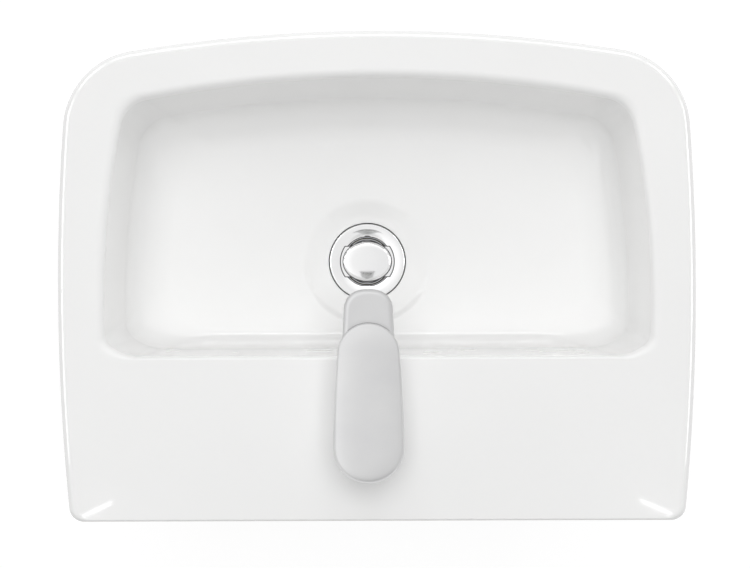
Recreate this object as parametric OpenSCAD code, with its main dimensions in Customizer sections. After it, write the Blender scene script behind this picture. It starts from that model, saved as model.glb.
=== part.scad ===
// Wall-hung ceramic washbasin with a single-lever mixer tap and a push-button waste.
// The origin is midway between the two wall fixing holes, on the wall.
// +Z is up, the wall is the plane Y = 0 and the basin reaches towards -Y.

/* [Basin outline] */
// Width over the widest point of the sides
basin_w = 560; // [500:5:640]
// Depth from the wall to the middle of the front edge
basin_d = 430; // [400:5:480]
// Height of the rim above the wall fixing holes
rim_z = 60; // [50:1:80]
// Radius of the bow in each side
side_bow_r = 2030; // [1500:10:3000]
// Radius of the bow in the front edge
front_bow_r = 1350; // [1100:10:2000]
// Distance of the widest point from the wall
widest_d = 207; // [150:1:260]
// Radius of the two front corners
front_corner_r = 65; // [45:1:80]
// Radius of the two back corners
back_corner_r = 13; // [10:1:25]
// Radius of the outer edge of the rim
rim_edge_r = 7; // [4:0.5:10]
// How far the rim's edge is drawn in along the wall
back_edge_r = 2; // [1:0.5:4]

/* [Bowl] */
// Distance from the wall to the back edge of the bowl
deck_d = 141.7; // [130:0.1:160]
// Width of the rim in front of the bowl
front_rim_w = 33.4; // [30:0.1:50]
// Width of the rim beside the bowl
side_rim_w = 32.2; // [30:0.1:50]
// Sideways place of the bowl in the outline
bowl_x = -0.5; // [-5:0.1:5]
// Radius of the bow in the sides of the bowl
bowl_side_bow_r = 790; // [700:10:1500]
// Radius of the bow in the front of the bowl
bowl_front_bow_r = 1090; // [900:10:2000]
// Distance of the bowl's widest point from the wall
bowl_widest_d = 194; // [180:1:230]
// Radius of the bowl's front corners at the rim
bowl_front_corner_r = 24; // [18:1:40]
// Radius of the bowl's back corners at the sides
bowl_back_corner_r = 9; // [6:1:20]
// Radius of the bowl's back corners along the back
bowl_back_long_r = 44; // [30:1:50]
// Radius of the front corners at the floor
floor_front_corner_r = 58; // [50:1:62]
// Radius of the floor's back corners at the sides
floor_back_corner_r = 44; // [40:1:50]
// Radius of the floor's back corners along the back
floor_back_long_r = 50; // [46:1:60]
// Radius of the edge between rim and bowl
bowl_edge_r = 8; // [4:0.5:10]
// Steepness of the bowl's walls
wall_slope = 80; // [76:0.5:84]
// Radius between wall and floor
floor_fillet_r = 42; // [30:1:46]
// Share of the wall's run that the back wall takes
back_run = 0.4; // [0.35:0.01:0.45]
// Depth of the floor at the foot of the walls
floor_drop = 112; // [100:1:116]
// Slope of the floor at the foot of the walls
floor_slope = 2.5; // [1:0.5:4]
// Depth of the seat of the waste flange
seat_drop = 122.5; // [121:0.5:130]
// Radius of the dished floor round the waste
dish_r = 59.5; // [50:0.5:60]
// Most that the floor falls between the walls and the dish
dish_fall = 3.4; // [2:0.1:5]

/* [Ceramic] */
// Thickness of the bowl and the skirt
wall_t = 11; // [9:0.5:13]
// Thickness of the wall panel
back_t = 14; // [12:0.5:18]
// Thickness of the rim and the tap deck
rim_t = 13; // [11:0.5:16]
// Height of the skirt at the front
skirt_front_h = 48; // [40:1:60]
// Height of the skirt at the wall
skirt_back_h = 126; // [110:1:140]
// Distance from the front edge at which the skirt starts to deepen
rise_front = 30; // [20:1:50]
// Distance from the wall at which the skirt is at its full height
rise_back = 60; // [40:1:100]
// Draft of the skirt from rim to lower edge
skirt_draft = 5; // [2:0.5:8]
// Radius along the skirt's lower edge
lower_edge_r = 4; // [2:0.5:5]
// Depth of the foot under the waste
boss_drop = 165; // [158:1:175]
// Radius of the foot under the waste
boss_r = 40; // [36:0.5:44]
// Distance between the two wall fixing holes
fixing_spacing = 280; // [200:10:360]
// Radius of a wall fixing hole
fixing_hole_r = 8; // [6:0.5:10]

/* [Overflow] */
// Depth of the overflow hole's centre below the rim
overflow_drop = 36; // [32:1:42]
// Radius of the overflow hole
overflow_r = 12; // [10:0.5:14]
// Half the thickness of the overflow channel
channel_r = 5; // [4:0.5:6]
// Width of the overflow channel
channel_w = 30; // [20:1:34]
// Ceramic round the overflow channel
channel_wall = 7; // [6:0.5:9]

/* [Waste] */
// Sideways place of the waste and the tap
fitting_x = 8; // [-10:0.5:10]
// Distance of the waste's centre from the wall
waste_d = 228.4; // [226:0.1:240]
// Radius of the waste hole in the ceramic
waste_hole_r = 23.2; // [23:0.1:24]
// Radius of the waste flange
flange_r = 34.4; // [33:0.1:35]
// Height of the flange above its gasket
flange_h = 3.2; // [2.6:0.1:4]
// Thickness of the gasket under the flange
gasket_t = 1.2; // [0.8:0.1:2]
// Radius of the opening in the flange
mouth_r = 23; // [22:0.1:24]
// Radius of the two side pockets in the flange
pocket_r = 25.3; // [24.5:0.1:27]
// Half the height of a side pocket
pocket_half = 14.5; // [12:0.1:16]
// Radius of the upper body inside the waste hole
neck_r = 22.7; // [22.5:0.1:22.8]
// Radius of the bore that the plug closes
seat_bore_r = 21.2; // [20.8:0.1:21.4]
// Radius of the threaded tail
tail_r = 20.95; // [20:0.05:21.5]
// Radius of the bore in the tail
tail_bore_r = 18.5; // [17:0.1:19]
// Length of the tail below the ceramic
tail_len = 38; // [34:1:60]
// Length of thread left free for the trap
free_thread = 16; // [12:1:20]

/* [Plug] */
// Width of the oval cap
cap_w = 43.8; // [40:0.1:45]
// Depth of the oval cap
cap_d = 36.3; // [30:0.1:40]
// Height of the cap's dome
cap_h = 3.6; // [2:0.1:5]
// Gap between the plug and what it moves in
plug_gap = 0.4; // [0.3:0.05:0.6]
// Lift of the plug
plug_lift = 9; // [6:0.5:10]
// Radius of the plug's stem
plug_stem_r = 4; // [3:0.1:4.5]

/* [Tap] */
// Distance of the tap's axis from the wall
tap_d = 70; // [68:0.5:76]
// Radius of the tap hole
tap_hole_r = 17.5; // [16.5:0.1:18]
// Radius of the column at the deck
column_r = 25.5; // [25:0.1:27]
// Radius of the column at its top
column_top_r = 26.8; // [26.2:0.1:28]
// Height at which the spout leaves the column
spout_start_z = 20; // [16:1:24]
// Height of the spout's underside at its end
outlet_z = 60; // [56:1:62]
// Height of the spout's top
spout_top_z = 86; // [84:1:90]
// Distance from the tap's axis to the outlet
spout_reach = 113.5; // [105:0.5:125]
// Half the width of the spout's end
spout_half_w = 21; // [19:0.5:26]
// Length of the spout's rounded end
spout_end_len = 20; // [16:0.5:24]
// Radius of the waterway in the spout
waterway_r = 6; // [5:0.1:6.5]

/* [Lever] */
// Radius of the lever's rear end
lever_rear_r = 30; // [28:0.1:31]
// Radius of the lever's front end
lever_front_r = 26.2; // [24:0.1:28]
// Distance between the centres of the lever's ends
lever_len = 78.6; // [70:0.2:84]
// Thickness of the lever's rear end
lever_rear_h = 16.5; // [15:0.5:19]
// Thickness of the lever's front end
lever_front_h = 6.5; // [5:0.5:10]
// Gap between the lever and the spout
lever_gap = 0.6; // [0.4:0.1:1]
// Sideways swing of the lever each way
lever_swing = 45; // [30:5:45]
// Lift of the lever
lever_lift = 20; // [15:1:20]

/* [Cartridge] */
// Radius of the cartridge
cartridge_r = 17.5; // [17:0.1:17.8]
// Gap between the cartridge and its chamber
chamber_gap = 0.5; // [0.3:0.1:0.6]
// Height of the chamber's floor
chamber_z = 32.7; // [31:0.1:34]
// Height of the column's rim round the cap
collar_z = 74.5; // [74:0.1:76]
// Height of the lever's pivot pin
pivot_z = 66; // [65.5:0.1:66.5]
// Distance from the pivot pin to the foot of the stem
stem_arm = 14; // [13.5:0.1:14.5]
// Radius of the pivot pin
pin_r = 2; // [1.5:0.1:2.5]
// Width of the stem
stem_w = 8; // [7:0.1:8.5]
// Depth of the stem
stem_d = 10; // [9:0.1:10.5]
// Radius of the rotor
rotor_r = 12.5; // [12:0.1:12.8]
// Radius of the moving disc
moving_disc_r = 11.5; // [11:0.1:11.8]
// Radius of the fixed disc
fixed_disc_r = 14.8; // [14.5:0.1:15]
// Running clearance of the turning parts
run_gap = 0.06; // [0.03:0.01:0.1]

/* [Tap fixing] */
// Radius of the hose ports
port_r = 4.5; // [4:0.1:5]
// Depth of the hose ports' thread
port_len = 12; // [10:0.5:14]
// Distance of each hose port from the tap's middle
port_x = 8.5; // [8:0.1:9]
// Radius of the fixing stud
stud_r = 4; // [3:0.1:4]
// Length of stud below the deck's underside
stud_free = 34; // [25:1:50]
// Radius of the horseshoe washer
washer_r = 26; // [24:0.5:30]
// Thickness of the horseshoe washer
washer_t = 2.5; // [2:0.1:4]
// Thickness of the rubber pads under body and washer
pad_t = 1.2; // [0.8:0.1:2]

/* [Hidden] */
$fn = 64;
eps = 0.01;
cut = 1; // how far a cutting shape runs past the face it cuts

// Steps along each stretch of a ring, from the middle of the back to the middle of the front
back_steps = 4;
back_corner_steps = 2; // of each of the corner's two radii
back_split = 54; // direction in which they meet
side_steps = 8;
front_corner_steps = 7;
front_steps = 6;

// Bowl profile, worked out from the slopes and radii
edge_run = bowl_edge_r * sin(wall_slope);
edge_fall = bowl_edge_r * (1 - cos(wall_slope));
fillet_fall = floor_fillet_r * (cos(floor_slope) - cos(wall_slope));
wall_fall = floor_drop - edge_fall - fillet_fall;
wall_run = wall_fall / tan(wall_slope);
fillet_run = floor_fillet_r * (sin(wall_slope) - sin(floor_slope));
bowl_run = edge_run + wall_run + fillet_run;
waste_at = [fitting_x, -waste_d];

// White glazed ceramic, pale chrome and the plain colours of the inner parts
glaze = [0.95, 0.95, 0.94];
chrome = [0.82, 0.82, 0.83];
brass = [0.78, 0.66, 0.42];
rubber = [0.12, 0.12, 0.13];
plastic = [0.9, 0.9, 0.88];
disc_white = [0.97, 0.97, 0.95];
steel = [0.7, 0.71, 0.73];
dark_plastic = [0.16, 0.16, 0.17];

function mix(a, b, f) = a + (b - a) * f;
function clamp(v) = min(1, max(0, v));
function smooth(v) = v * v * (3 - 2 * v);
function arc(centre, r, from, to, i, n) =
    centre + r * [cos(mix(from, to, i / n)), sin(mix(from, to, i / n))];

// Right half of a closed outline: straight back, bowed side, bowed front and round corners. The back
// corner has two radii: back_long along the back and back_c at the side.
// It starts in the middle of the back and ends in the middle of the front.
function half_outline(half_w, back_y, front_y, wide_y, side_r, front_r, back_c, back_long, front_c) =
    let (
        s = [half_w - side_r, wide_y],
        f = [0, front_y + front_r],
        b_y = back_y - mix(back_long, back_c, sin(back_split)),
        b = [s.x + sqrt(pow(side_r - back_c, 2) - pow(b_y - s.y, 2)), b_y],
        l = b - (back_long - back_c) * [cos(back_split), sin(back_split)],
        along = (f - s) / norm(f - s),
        a = (pow(side_r - front_c, 2) - pow(front_r - front_c, 2) + pow(norm(f - s), 2)) / (2 * norm(f - s)),
        h = sqrt(pow(side_r - front_c, 2) - a * a),
        c = s + a * along + h * [along.y, -along.x],
        back_turn = atan2(b.y - s.y, b.x - s.x),
        side_turn = atan2(c.y - s.y, c.x - s.x),
        front_turn = atan2(c.y - f.y, c.x - f.x)
    )
    concat(
        [for (i = [0:back_steps - 1]) [l.x * i / back_steps, back_y]],
        [for (i = [0:back_corner_steps - 1]) arc(l, back_long, 90, back_split, i, back_corner_steps)],
        [for (i = [0:back_corner_steps]) arc(b, back_c, back_split, back_turn, i, back_corner_steps)],
        [for (i = [1:side_steps - 1]) arc(s, side_r, back_turn, side_turn, i, side_steps)],
        [for (i = [0:front_corner_steps]) arc(c, front_c, side_turn, front_turn, i, front_corner_steps)],
        [for (i = [1:front_steps]) arc(f, front_r, front_turn, -90, i, front_steps)]
    );

// The whole outline, clockwise from above: the right half and its mirror image
function both_halves(half, x) = concat(
    [for (p = half) [p.x + x, p.y]],
    [for (i = [len(half) - 2:-1:1]) [x - half[i].x, half[i].y]]
);

// Outline of the basin, drawn in by one distance at the wall and another elsewhere
function outline(inset, back_inset) = both_halves(half_outline(
    basin_w / 2 - inset, -back_inset, inset - basin_d, -widest_d,
    side_bow_r - inset, front_bow_r - inset,
    max(2, back_corner_r - min(inset, back_inset)), max(2, back_corner_r - min(inset, back_inset)),
    front_corner_r - inset
), 0);

// Outline of the bowl, drawn in by a run, with its corners opening towards the floor
function bowl_outline(run, share, grow) = both_halves(half_outline(
    basin_w / 2 - side_rim_w - run, -deck_d - (run + grow) * back_run + grow, front_rim_w + run - basin_d,
    -bowl_widest_d, bowl_side_bow_r - run, bowl_front_bow_r - run,
    mix(bowl_back_corner_r, floor_back_corner_r, share) + grow,
    mix(bowl_back_long_r, floor_back_long_r, share) + grow,
    mix(bowl_front_corner_r, floor_front_corner_r, share) + grow
), bowl_x);

function lift(ring, drop) = [for (p = ring) [p.x, p.y, rim_z - drop]];
function circle_to(ring, r) =
    [for (p = ring) waste_at + r * ([p.x, p.y] - waste_at) / norm([p.x, p.y] - waste_at)];
function between(low, high, f) = [for (i = [0:len(low) - 1]) mix(low[i], high[i], f)];

// Height of the skirt, low along the front and deep at the wall
function skirt_h(y) =
    mix(skirt_front_h, skirt_back_h, smooth(clamp(
        (y + basin_d - rise_front) / (basin_d - rise_front - rise_back)
    )));
// A ring on the skirt: up is its height above the lower edge where share is 1, and share 0 is the rim's edge
function skirt_ring(ring, share, up) =
    [for (p = ring) [p.x, p.y, rim_z - mix(rim_edge_r, skirt_h(p.y) - up, share)]];

// The bowl's wall as [run, drop, slope], from the rim down to the floor
edge_angles = [for (i = [0:3]) wall_slope * i / 3];
fillet_angles = [for (i = [0:7]) mix(wall_slope, floor_slope, i / 7)];
edge_profile = [for (a = edge_angles) [bowl_edge_r * sin(a), bowl_edge_r * (1 - cos(a)), a]];
fillet_profile = [for (a = fillet_angles) [
    edge_run + wall_run + floor_fillet_r * (sin(wall_slope) - sin(a)),
    edge_fall + wall_fall + floor_fillet_r * (cos(a) - cos(wall_slope)),
    a
]];
dish_drop = seat_drop - 2.3; // the seat lies in a shallow step below the dish
// The dish as [share of the way from the flange to its edge, share of its depth behind the waste, and in
// front of it, where it fades into the floor]
dish_profile = [
    [0, 1, 1], [0.3, 0.93, 0.79], [0.55, 0.8, 0.42],
    [0.72, 0.62, 0.18], [0.84, 0.34, 0.06], [0.93, 0.09, 0.01]
];
dish_inner_r = flange_r + 1.6;
floor_steps = 4;

// The dish's edge, as low as the floor's slope brings it there, within a limit
function dish_edge(ring) = [for (p = ring)
    let (away = [p.x, p.y] - waste_at)
    concat(
        waste_at + dish_r * away / norm(away),
        [p.z - min(dish_fall, (norm(away) - dish_r) * tan(floor_slope))]
    )];
function dish_ring(edge, step) = [for (p = edge)
    let (
        out = ([p.x, p.y] - waste_at) / dish_r,
        depth = mix(step[2], step[1], smooth(clamp((out.y + 0.1) / 0.4)))
    )
    concat(
        waste_at + mix(dish_inner_r, dish_r, step[0]) * out,
        [mix(p.z, rim_z - dish_drop, depth)]
    )];

module skin(rings) {
    n = len(rings[0]);
    last = (len(rings) - 1) * n;
    polyhedron(
        points = [for (r = rings) each r],
        faces = concat(
            [[for (i = [0:n - 1]) i]],
            [for (r = [0:len(rings) - 2]) for (i = [0:n - 1])
                each [
                    [r * n + (i + 1) % n, r * n + i, (r + 1) * n + i],
                    [r * n + (i + 1) % n, (r + 1) * n + i, (r + 1) * n + (i + 1) % n]
                ]],
            [[for (i = [n - 1:-1:0]) last + i]]
        )
    );
}

function bowl_ring(p) = lift(bowl_outline(p[0], p[0] / bowl_run, 0), p[1]);
function bowl_back_ring(p) = lift(
    bowl_outline(p[0] - wall_t * sin(p[2]), p[0] / bowl_run, wall_t * sin(p[2])),
    p[1] + wall_t * cos(p[2])
);

module basin_shell() {
    floor_ring = bowl_ring(fillet_profile[7]);
    edge_ring = dish_edge(floor_ring);
    under_ring = bowl_back_ring(fillet_profile[7]);
    foot_flare = 9;
    under_fillet = 4;
    shelf = rim_t + under_fillet;
    skin(concat(
        [for (step = dish_profile) dish_ring(edge_ring, step)],
        [for (i = [0:floor_steps - 1]) between(edge_ring, floor_ring, i / floor_steps)],
        [for (i = [7:-1:0]) bowl_ring(fillet_profile[i])],
        [for (i = [3:-1:0]) bowl_ring(edge_profile[i])],
        [for (i = [0:3]) lift(
            outline(rim_edge_r * (1 - sin(30 * i)), back_edge_r * (1 - sin(30 * i))),
            rim_edge_r * (1 - cos(30 * i))
        )],
        [skirt_ring(outline(skirt_draft / 2, 0), 0.5, 0)],
        [skirt_ring(outline(skirt_draft, 0), 1, lower_edge_r)],
        [skirt_ring(outline(skirt_draft + lower_edge_r * 0.3, lower_edge_r * 0.3), 1, lower_edge_r * 0.3)],
        [skirt_ring(outline(skirt_draft + lower_edge_r, lower_edge_r), 1, 0)],
        [skirt_ring(outline(skirt_draft + wall_t - 2, back_t - 2), 1, 0)],
        [skirt_ring(outline(skirt_draft + wall_t, back_t), 1, 2)],
        [lift(outline(wall_t, back_t), shelf)],
        [lift(outline(wall_t + under_fillet, back_t + under_fillet), rim_t)],
        [lift(bowl_outline(-wall_t - under_fillet, 0, wall_t + under_fillet), rim_t)],
        [lift(bowl_outline(-wall_t, 0, wall_t), shelf)],
        [for (i = [0:7]) bowl_back_ring(fillet_profile[i])],
        [lift(circle_to(under_ring, boss_r + foot_flare), dish_drop + wall_t)],
        [lift(circle_to(under_ring, boss_r + foot_flare / 3), dish_drop + wall_t + foot_flare / 3)],
        [lift(circle_to(under_ring, boss_r), dish_drop + wall_t + foot_flare)],
        [lift(circle_to(under_ring, boss_r), boss_drop)]
    ));
}

// Route of the overflow channel behind and below the bowl, as [distance from the wall, depth]
overflow_y = deck_d + (edge_run + (overflow_drop - edge_fall) / tan(wall_slope)) * back_run;
channel_clear = channel_r + channel_wall + 2; // from the bowl's surface to the middle of the channel
channel_top = [overflow_y - channel_clear, overflow_drop - overflow_r / 2];
channel_bend = [deck_d + (edge_run + wall_run) * back_run - channel_clear - 2, edge_fall + wall_fall + 18];
channel_low = [deck_d + bowl_run * back_run - channel_clear * 0.75, floor_drop + channel_clear + 1];
channel_end = [waste_d - waste_hole_r - 2, floor_drop + wall_t + 15];

module channel_bar(at, r, w) {
    translate([fitting_x, -at[0], rim_z - at[1]])
        rotate([0, 90, 0])
            cylinder(r = r, h = w, center = true, $fn = 20);
}

module channel(r, w, end) {
    route = [channel_top, channel_bend, channel_low, end];
    for (i = [0:len(route) - 2])
        hull() {
            channel_bar(route[i], r, w);
            channel_bar(route[i + 1], r, w);
        }
}

wall_tilt = atan(back_run / tan(wall_slope)); // lean of the bowl's back wall

// Places a piece on the back wall at the overflow, with +Z straight out into the bowl
module at_overflow() {
    translate([fitting_x, -overflow_y, rim_z - overflow_drop])
        rotate([90 - wall_tilt, 0, 0])
            children();
}

module ceramic_basin() {
    color(glaze)
        difference() {
            union() {
                basin_shell();
                channel(channel_r + channel_wall, channel_w + 2 * channel_wall, channel_end);
            }
            channel(channel_r, channel_w, channel_end + [4, 0]);
            at_overflow()
                translate([0, 0, -channel_clear])
                    cylinder(r = overflow_r, h = channel_clear + 12);
            translate([waste_at.x, waste_at.y, rim_z - boss_drop - cut])
                cylinder(r = waste_hole_r, h = boss_drop);
            translate([waste_at.x, waste_at.y, rim_z - seat_drop])
                cylinder(r = flange_r + plug_gap, h = seat_drop);
            translate([fitting_x, -tap_d, rim_z - rim_t - cut])
                cylinder(r = tap_hole_r, h = rim_t + 2 * cut);
            for (side = [-1, 1])
                translate([side * fixing_spacing / 2, cut, 0])
                    rotate([90, 0, 0])
                        cylinder(r = fixing_hole_r, h = back_t + 2 * cut);
        }
}

module overflow_ring() {
    lip = 1.6;
    barrel = wall_t - 3;
    color(chrome)
        at_overflow()
            difference() {
                union() {
                    translate([0, 0, seat_gap])
                        cylinder(r = overflow_r + 2.4, h = lip);
                    translate([0, 0, -barrel])
                        cylinder(r = overflow_r - seat_gap, h = barrel + lip);
                }
                translate([0, 0, -barrel - cut])
                    cylinder(r = overflow_r - 1.8, h = barrel + lip + 2 * cut);
            }
}

module at_waste() {
    translate([waste_at.x, waste_at.y, rim_z - seat_drop])
        children();
}

// Heights in the waste, from the seat of the flange
flange_top = gasket_t + flange_h;
foot_z = seat_drop - boss_drop;
pocket_floor = gasket_t + 0.6;
neck_end = -13;
window_top = -15.5;
window_h = 11.5;
hub_top = -31;
hub_h = 9;
hub_r = 8.5;
tail_end = foot_z - tail_len;
free_top = tail_end + free_thread; // the groove that ends the trap's thread
seal_h = 7;
washer_h = 2;
nut_h = tail_len - free_thread - seal_h - washer_h;
sleeve_r = 6.25;
stem_grip = 7; // length of stem left in the sleeve's guide when the plug is up
spring_h = 13;
stem_end = hub_top - stem_grip - plug_lift;
sleeve_floor = stem_end - spring_h;
disc_top = -1.6;
disc_bottom = -6;
seal_wire = 0.98; // radius of the plug's seal ring
seal_ring_r = seat_bore_r - plug_gap - seal_wire;
seat_gap = 0.05; // between parts that are screwed or pressed together

module waste_tube() {
    rotate_extrude()
        polygon([
            [mouth_r, pocket_floor + 0.4], [mouth_r + 1.2, flange_top - 1], [mouth_r + 3, flange_top - 0.3],
            [mouth_r + 5.4, flange_top], [flange_r - 3, flange_top - 0.5],
            [flange_r - 0.8, flange_top - 1.4], [flange_r, flange_top - 2],
            [flange_r, gasket_t], [neck_r, gasket_t], [neck_r, neck_end],
            [tail_r, neck_end - 1.5], [tail_r, free_top], [tail_r - 0.6, free_top - 0.2],
            [tail_r - 0.6, free_top - 0.8], [tail_r, free_top - 1],
            [tail_r, tail_end + 1], [tail_r - 1, tail_end], [tail_bore_r, tail_end],
            [tail_bore_r, neck_end], [seat_bore_r, neck_end + 3.5], [seat_bore_r, -1]
        ]);
}

module waste_body() {
    windows = 4;
    ribs = 3;
    color(chrome)
        at_waste() {
            difference() {
                waste_tube();
                translate([0, 0, pocket_floor])
                    intersection() {
                        cylinder(r = pocket_r, h = flange_h);
                        cube([2 * pocket_r, 2 * pocket_half, 4 * flange_h], center = true);
                    }
                for (i = [0:windows - 1])
                    rotate([0, 0, 360 * (i + 0.5) / windows + 45])
                        translate([tail_bore_r - 2, -6, window_top - window_h])
                            cube([8, 12, window_h]);
            }
            difference() {
                translate([0, 0, hub_top - hub_h])
                    cylinder(r = hub_r, h = hub_h);
                translate([0, 0, hub_top - hub_h - cut])
                    cylinder(r = sleeve_r + seat_gap, h = hub_h + 2 * cut);
            }
            for (i = [0:ribs - 1])
                rotate([0, 0, 360 * i / ribs + 90])
                    translate([hub_r - 0.5, -1.5, hub_top - hub_h])
                        cube([tail_bore_r - hub_r + 1, 3, hub_h]);
        }
}

module ring_part(outer, inner, low, high) {
    translate([0, 0, low])
        difference() {
            cylinder(r = outer, h = high - low);
            translate([0, 0, -cut])
                cylinder(r = inner, h = high - low + 2 * cut);
        }
}

module flange_gasket() {
    color(rubber)
        at_waste()
            ring_part(flange_r - 1, waste_hole_r + 0.6, 0, gasket_t);
}

module lower_seal() {
    color(rubber)
        at_waste()
            rotate_extrude()
                polygon([
                    [tail_r + seat_gap, foot_z], [boss_r - 8, foot_z], [boss_r - 8, foot_z - 1.5],
                    [boss_r - 12, foot_z - seal_h], [tail_r + seat_gap, foot_z - seal_h]
                ]);
}

module seal_washer() {
    color(plastic)
        at_waste()
            ring_part(boss_r - 9, tail_r + 2 * seat_gap, foot_z - seal_h - washer_h, foot_z - seal_h);
}

module back_nut() {
    nut_z = foot_z - seal_h - washer_h - nut_h;
    color(brass)
        at_waste()
            difference() {
                union() {
                    translate([0, 0, nut_z])
                        cylinder(r = boss_r - 7.5, h = nut_h, $fn = 6);
                    translate([0, 0, nut_z + nut_h - 3])
                        cylinder(r = boss_r - 9, h = 3);
                }
                translate([0, 0, nut_z - cut])
                    cylinder(r = tail_r + seat_gap, h = nut_h + 2 * cut);
            }
}

function oval(half_w, half_d, z) = [for (i = [0:39])
    [half_w * sin(9 * i), half_d * cos(9 * i), z]];

module plug_cap() {
    low = pocket_floor + 0.2;
    ear_h = 1.4;
    // Edge of the dome as [how far in, height]
    edge = [[12, 1], [7, 0.93], [3.2, 0.76], [1.2, 0.52], [0.3, 0.28], [0, 0], [0, -0.35], [0.5, -0.44]];
    color(chrome)
        at_waste() {
            difference() {
                union() {
                    skin([for (e = edge)
                        oval(cap_w / 2 - e[0], cap_d / 2 - e[0], low + 1.6 + e[1] * cap_h)]);
                    translate([0, 0, low])
                        intersection() {
                            cylinder(r = pocket_r - plug_gap, h = ear_h);
                            cube([2 * pocket_r, 2 * (pocket_half - plug_gap), 4 * ear_h], center = true);
                        }
                    translate([0, 0, disc_top])
                        cylinder(r = 9, h = low - disc_top + 1);
                }
                translate([0, 0, disc_top - cut])
                    cylinder(r = plug_stem_r - 1 + seat_gap, h = low - disc_top + cut);
            }
        }
}

module plug_disc() {
    r = seat_bore_r - 0.6;
    groove_r = seal_ring_r - seal_wire - seat_gap;
    bore_r = plug_stem_r - 1 + seat_gap;
    ridges = 2;
    ridge_pitch = 1.3;
    color(dark_plastic)
        at_waste()
            difference() {
                rotate_extrude()
                    polygon([
                        [bore_r, disc_bottom], [r - 1, disc_bottom], [r, disc_bottom + 0.8],
                        [groove_r, disc_bottom + 1.1], [groove_r, disc_bottom + 3.2],
                        [r, disc_bottom + 3.4], [r, disc_top - 0.6], [r - 0.6, disc_top], [bore_r, disc_top]
                    ]);
                for (i = [0:ridges - 1])
                    ring_part(
                        r - ridge_pitch * (i + 0.5), r - ridge_pitch * (i + 1),
                        disc_top - 0.7, disc_top + cut
                    );
            }
}

module plug_seal() {
    color(rubber)
        at_waste()
            translate([0, 0, disc_bottom + 2.15])
                rotate_extrude()
                    translate([seal_ring_r, 0])
                        circle(r = seal_wire, $fn = 32);
}

module plug_stem() {
    color(brass)
        at_waste() {
            translate([0, 0, stem_end])
                cylinder(r = plug_stem_r, h = disc_bottom - stem_end);
            translate([0, 0, disc_bottom - eps])
                cylinder(r = plug_stem_r - 1, h = disc_top - disc_bottom + 3);
        }
}

module click_sleeve() {
    chamber_r = 5;
    guide_low = hub_top - 11;
    color(plastic)
        at_waste()
            difference() {
                union() {
                    translate([0, 0, sleeve_floor - 2])
                        cylinder(r = sleeve_r, h = hub_top - sleeve_floor + 2);
                    translate([0, 0, hub_top])
                        cylinder(r = hub_r - 0.5, h = 4, $fn = 6);
                }
                translate([0, 0, guide_low])
                    cylinder(r = plug_stem_r + run_gap, h = hub_top + 5 - guide_low);
                translate([0, 0, sleeve_floor])
                    cylinder(r = chamber_r, h = guide_low - sleeve_floor - 0.5);
                translate([0, 0, guide_low - 0.5 - eps])
                    cylinder(r1 = chamber_r, r2 = plug_stem_r + run_gap, h = 0.5 + 2 * eps);
            }
}

// A coil spring as one tube: rings of points along a helix, with flattened ends
module click_spring() {
    wire = 0.45;
    coil_r = 3.4;
    turns = 6;
    per_turn = 16;
    sides = 6;
    steps = turns * per_turn;
    low = sleeve_floor + wire + seat_gap;
    rise = spring_h - 2 * wire - 2 * seat_gap;
    color(steel)
        at_waste()
            polyhedron(
                points = [for (i = [0:steps]) for (k = [0:sides - 1])
                    let (
                        turn = 360 * i / per_turn,
                        lean = 360 * k / sides,
                        r = coil_r + wire * cos(lean)
                    )
                    [r * cos(turn), r * sin(turn), low + rise * smooth(i / steps) + wire * sin(lean)]],
                faces = concat(
                    [[for (k = [0:sides - 1]) k]],
                    [for (i = [0:steps - 1]) for (k = [0:sides - 1])
                        each [
                            [i * sides + k, (i + 1) * sides + k, (i + 1) * sides + (k + 1) % sides],
                            [i * sides + k, (i + 1) * sides + (k + 1) % sides, i * sides + (k + 1) % sides]
                        ]],
                    [[for (k = [sides - 1:-1:0]) steps * sides + k]]
                )
            );
}

module at_tap() {
    translate([fitting_x, -tap_d, rim_z])
        children();
}

// Half an outline with a round rear end and a blunt front end, from the rear to the front
function half_lobe(rear_r, len, half_w, end_len, power, side_points, bow) = concat(
    [for (i = [0:8]) arc([0, 0], rear_r, 90, 0, i, 8)],
    [for (i = [1:1:side_points]) let (t = i / (side_points + 1))
        [mix(rear_r, half_w, t) + 4 * bow * t * (1 - t), -len * t]],
    [for (i = [0:8]) let (a = 90 * i / 8)
        [half_w * pow(cos(a), 2 / power), -len - end_len * pow(sin(a), 2 / power)]]
);
function lobe(rear_r, len, half_w, end_len, power, z) =
    [for (p = both_halves(half_lobe(rear_r, len, half_w, end_len, power, 0, 0), 0)) [p.x, p.y, z]];

blunt = 2.4; // power of the spout's blunt end, where 2 is round
spout_edge_r = 5;
aerator_y = -spout_reach + 4;
aerator_r = 12;
chamber_r = cartridge_r + chamber_gap;
cap_r = column_top_r - 0.5;
seat_r = lever_rear_r + 1.2; // room for the lever's rear end when it is lifted and swung
cavity_top = 12;
port_y = 3.5;
stud_y = -11;
port_bore_r = 3;

// Rings of the spout's underside, from the column (share 0) to the outlet (share 1)
function spout_under(share) =
    let (
        len = spout_reach * (1 - cos(90 * share)),
        f = len / spout_reach,
        z = mix(spout_start_z, outlet_z, sin(90 * share)),
        rear = mix(column_r, column_top_r, z / collar_z)
    )
    lobe(
        rear, max(0.5, len), mix(rear, spout_half_w - 6, f), mix(rear, spout_end_len - 6, f),
        mix(2, blunt, f), z
    );
// A ring of the upper spout, drawn in by a distance
function spout_upper(inset, z) = lobe(
    column_top_r - min(inset, spout_edge_r) * 0.5, spout_reach, spout_half_w - inset, spout_end_len - inset,
    blunt, z
);

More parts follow.
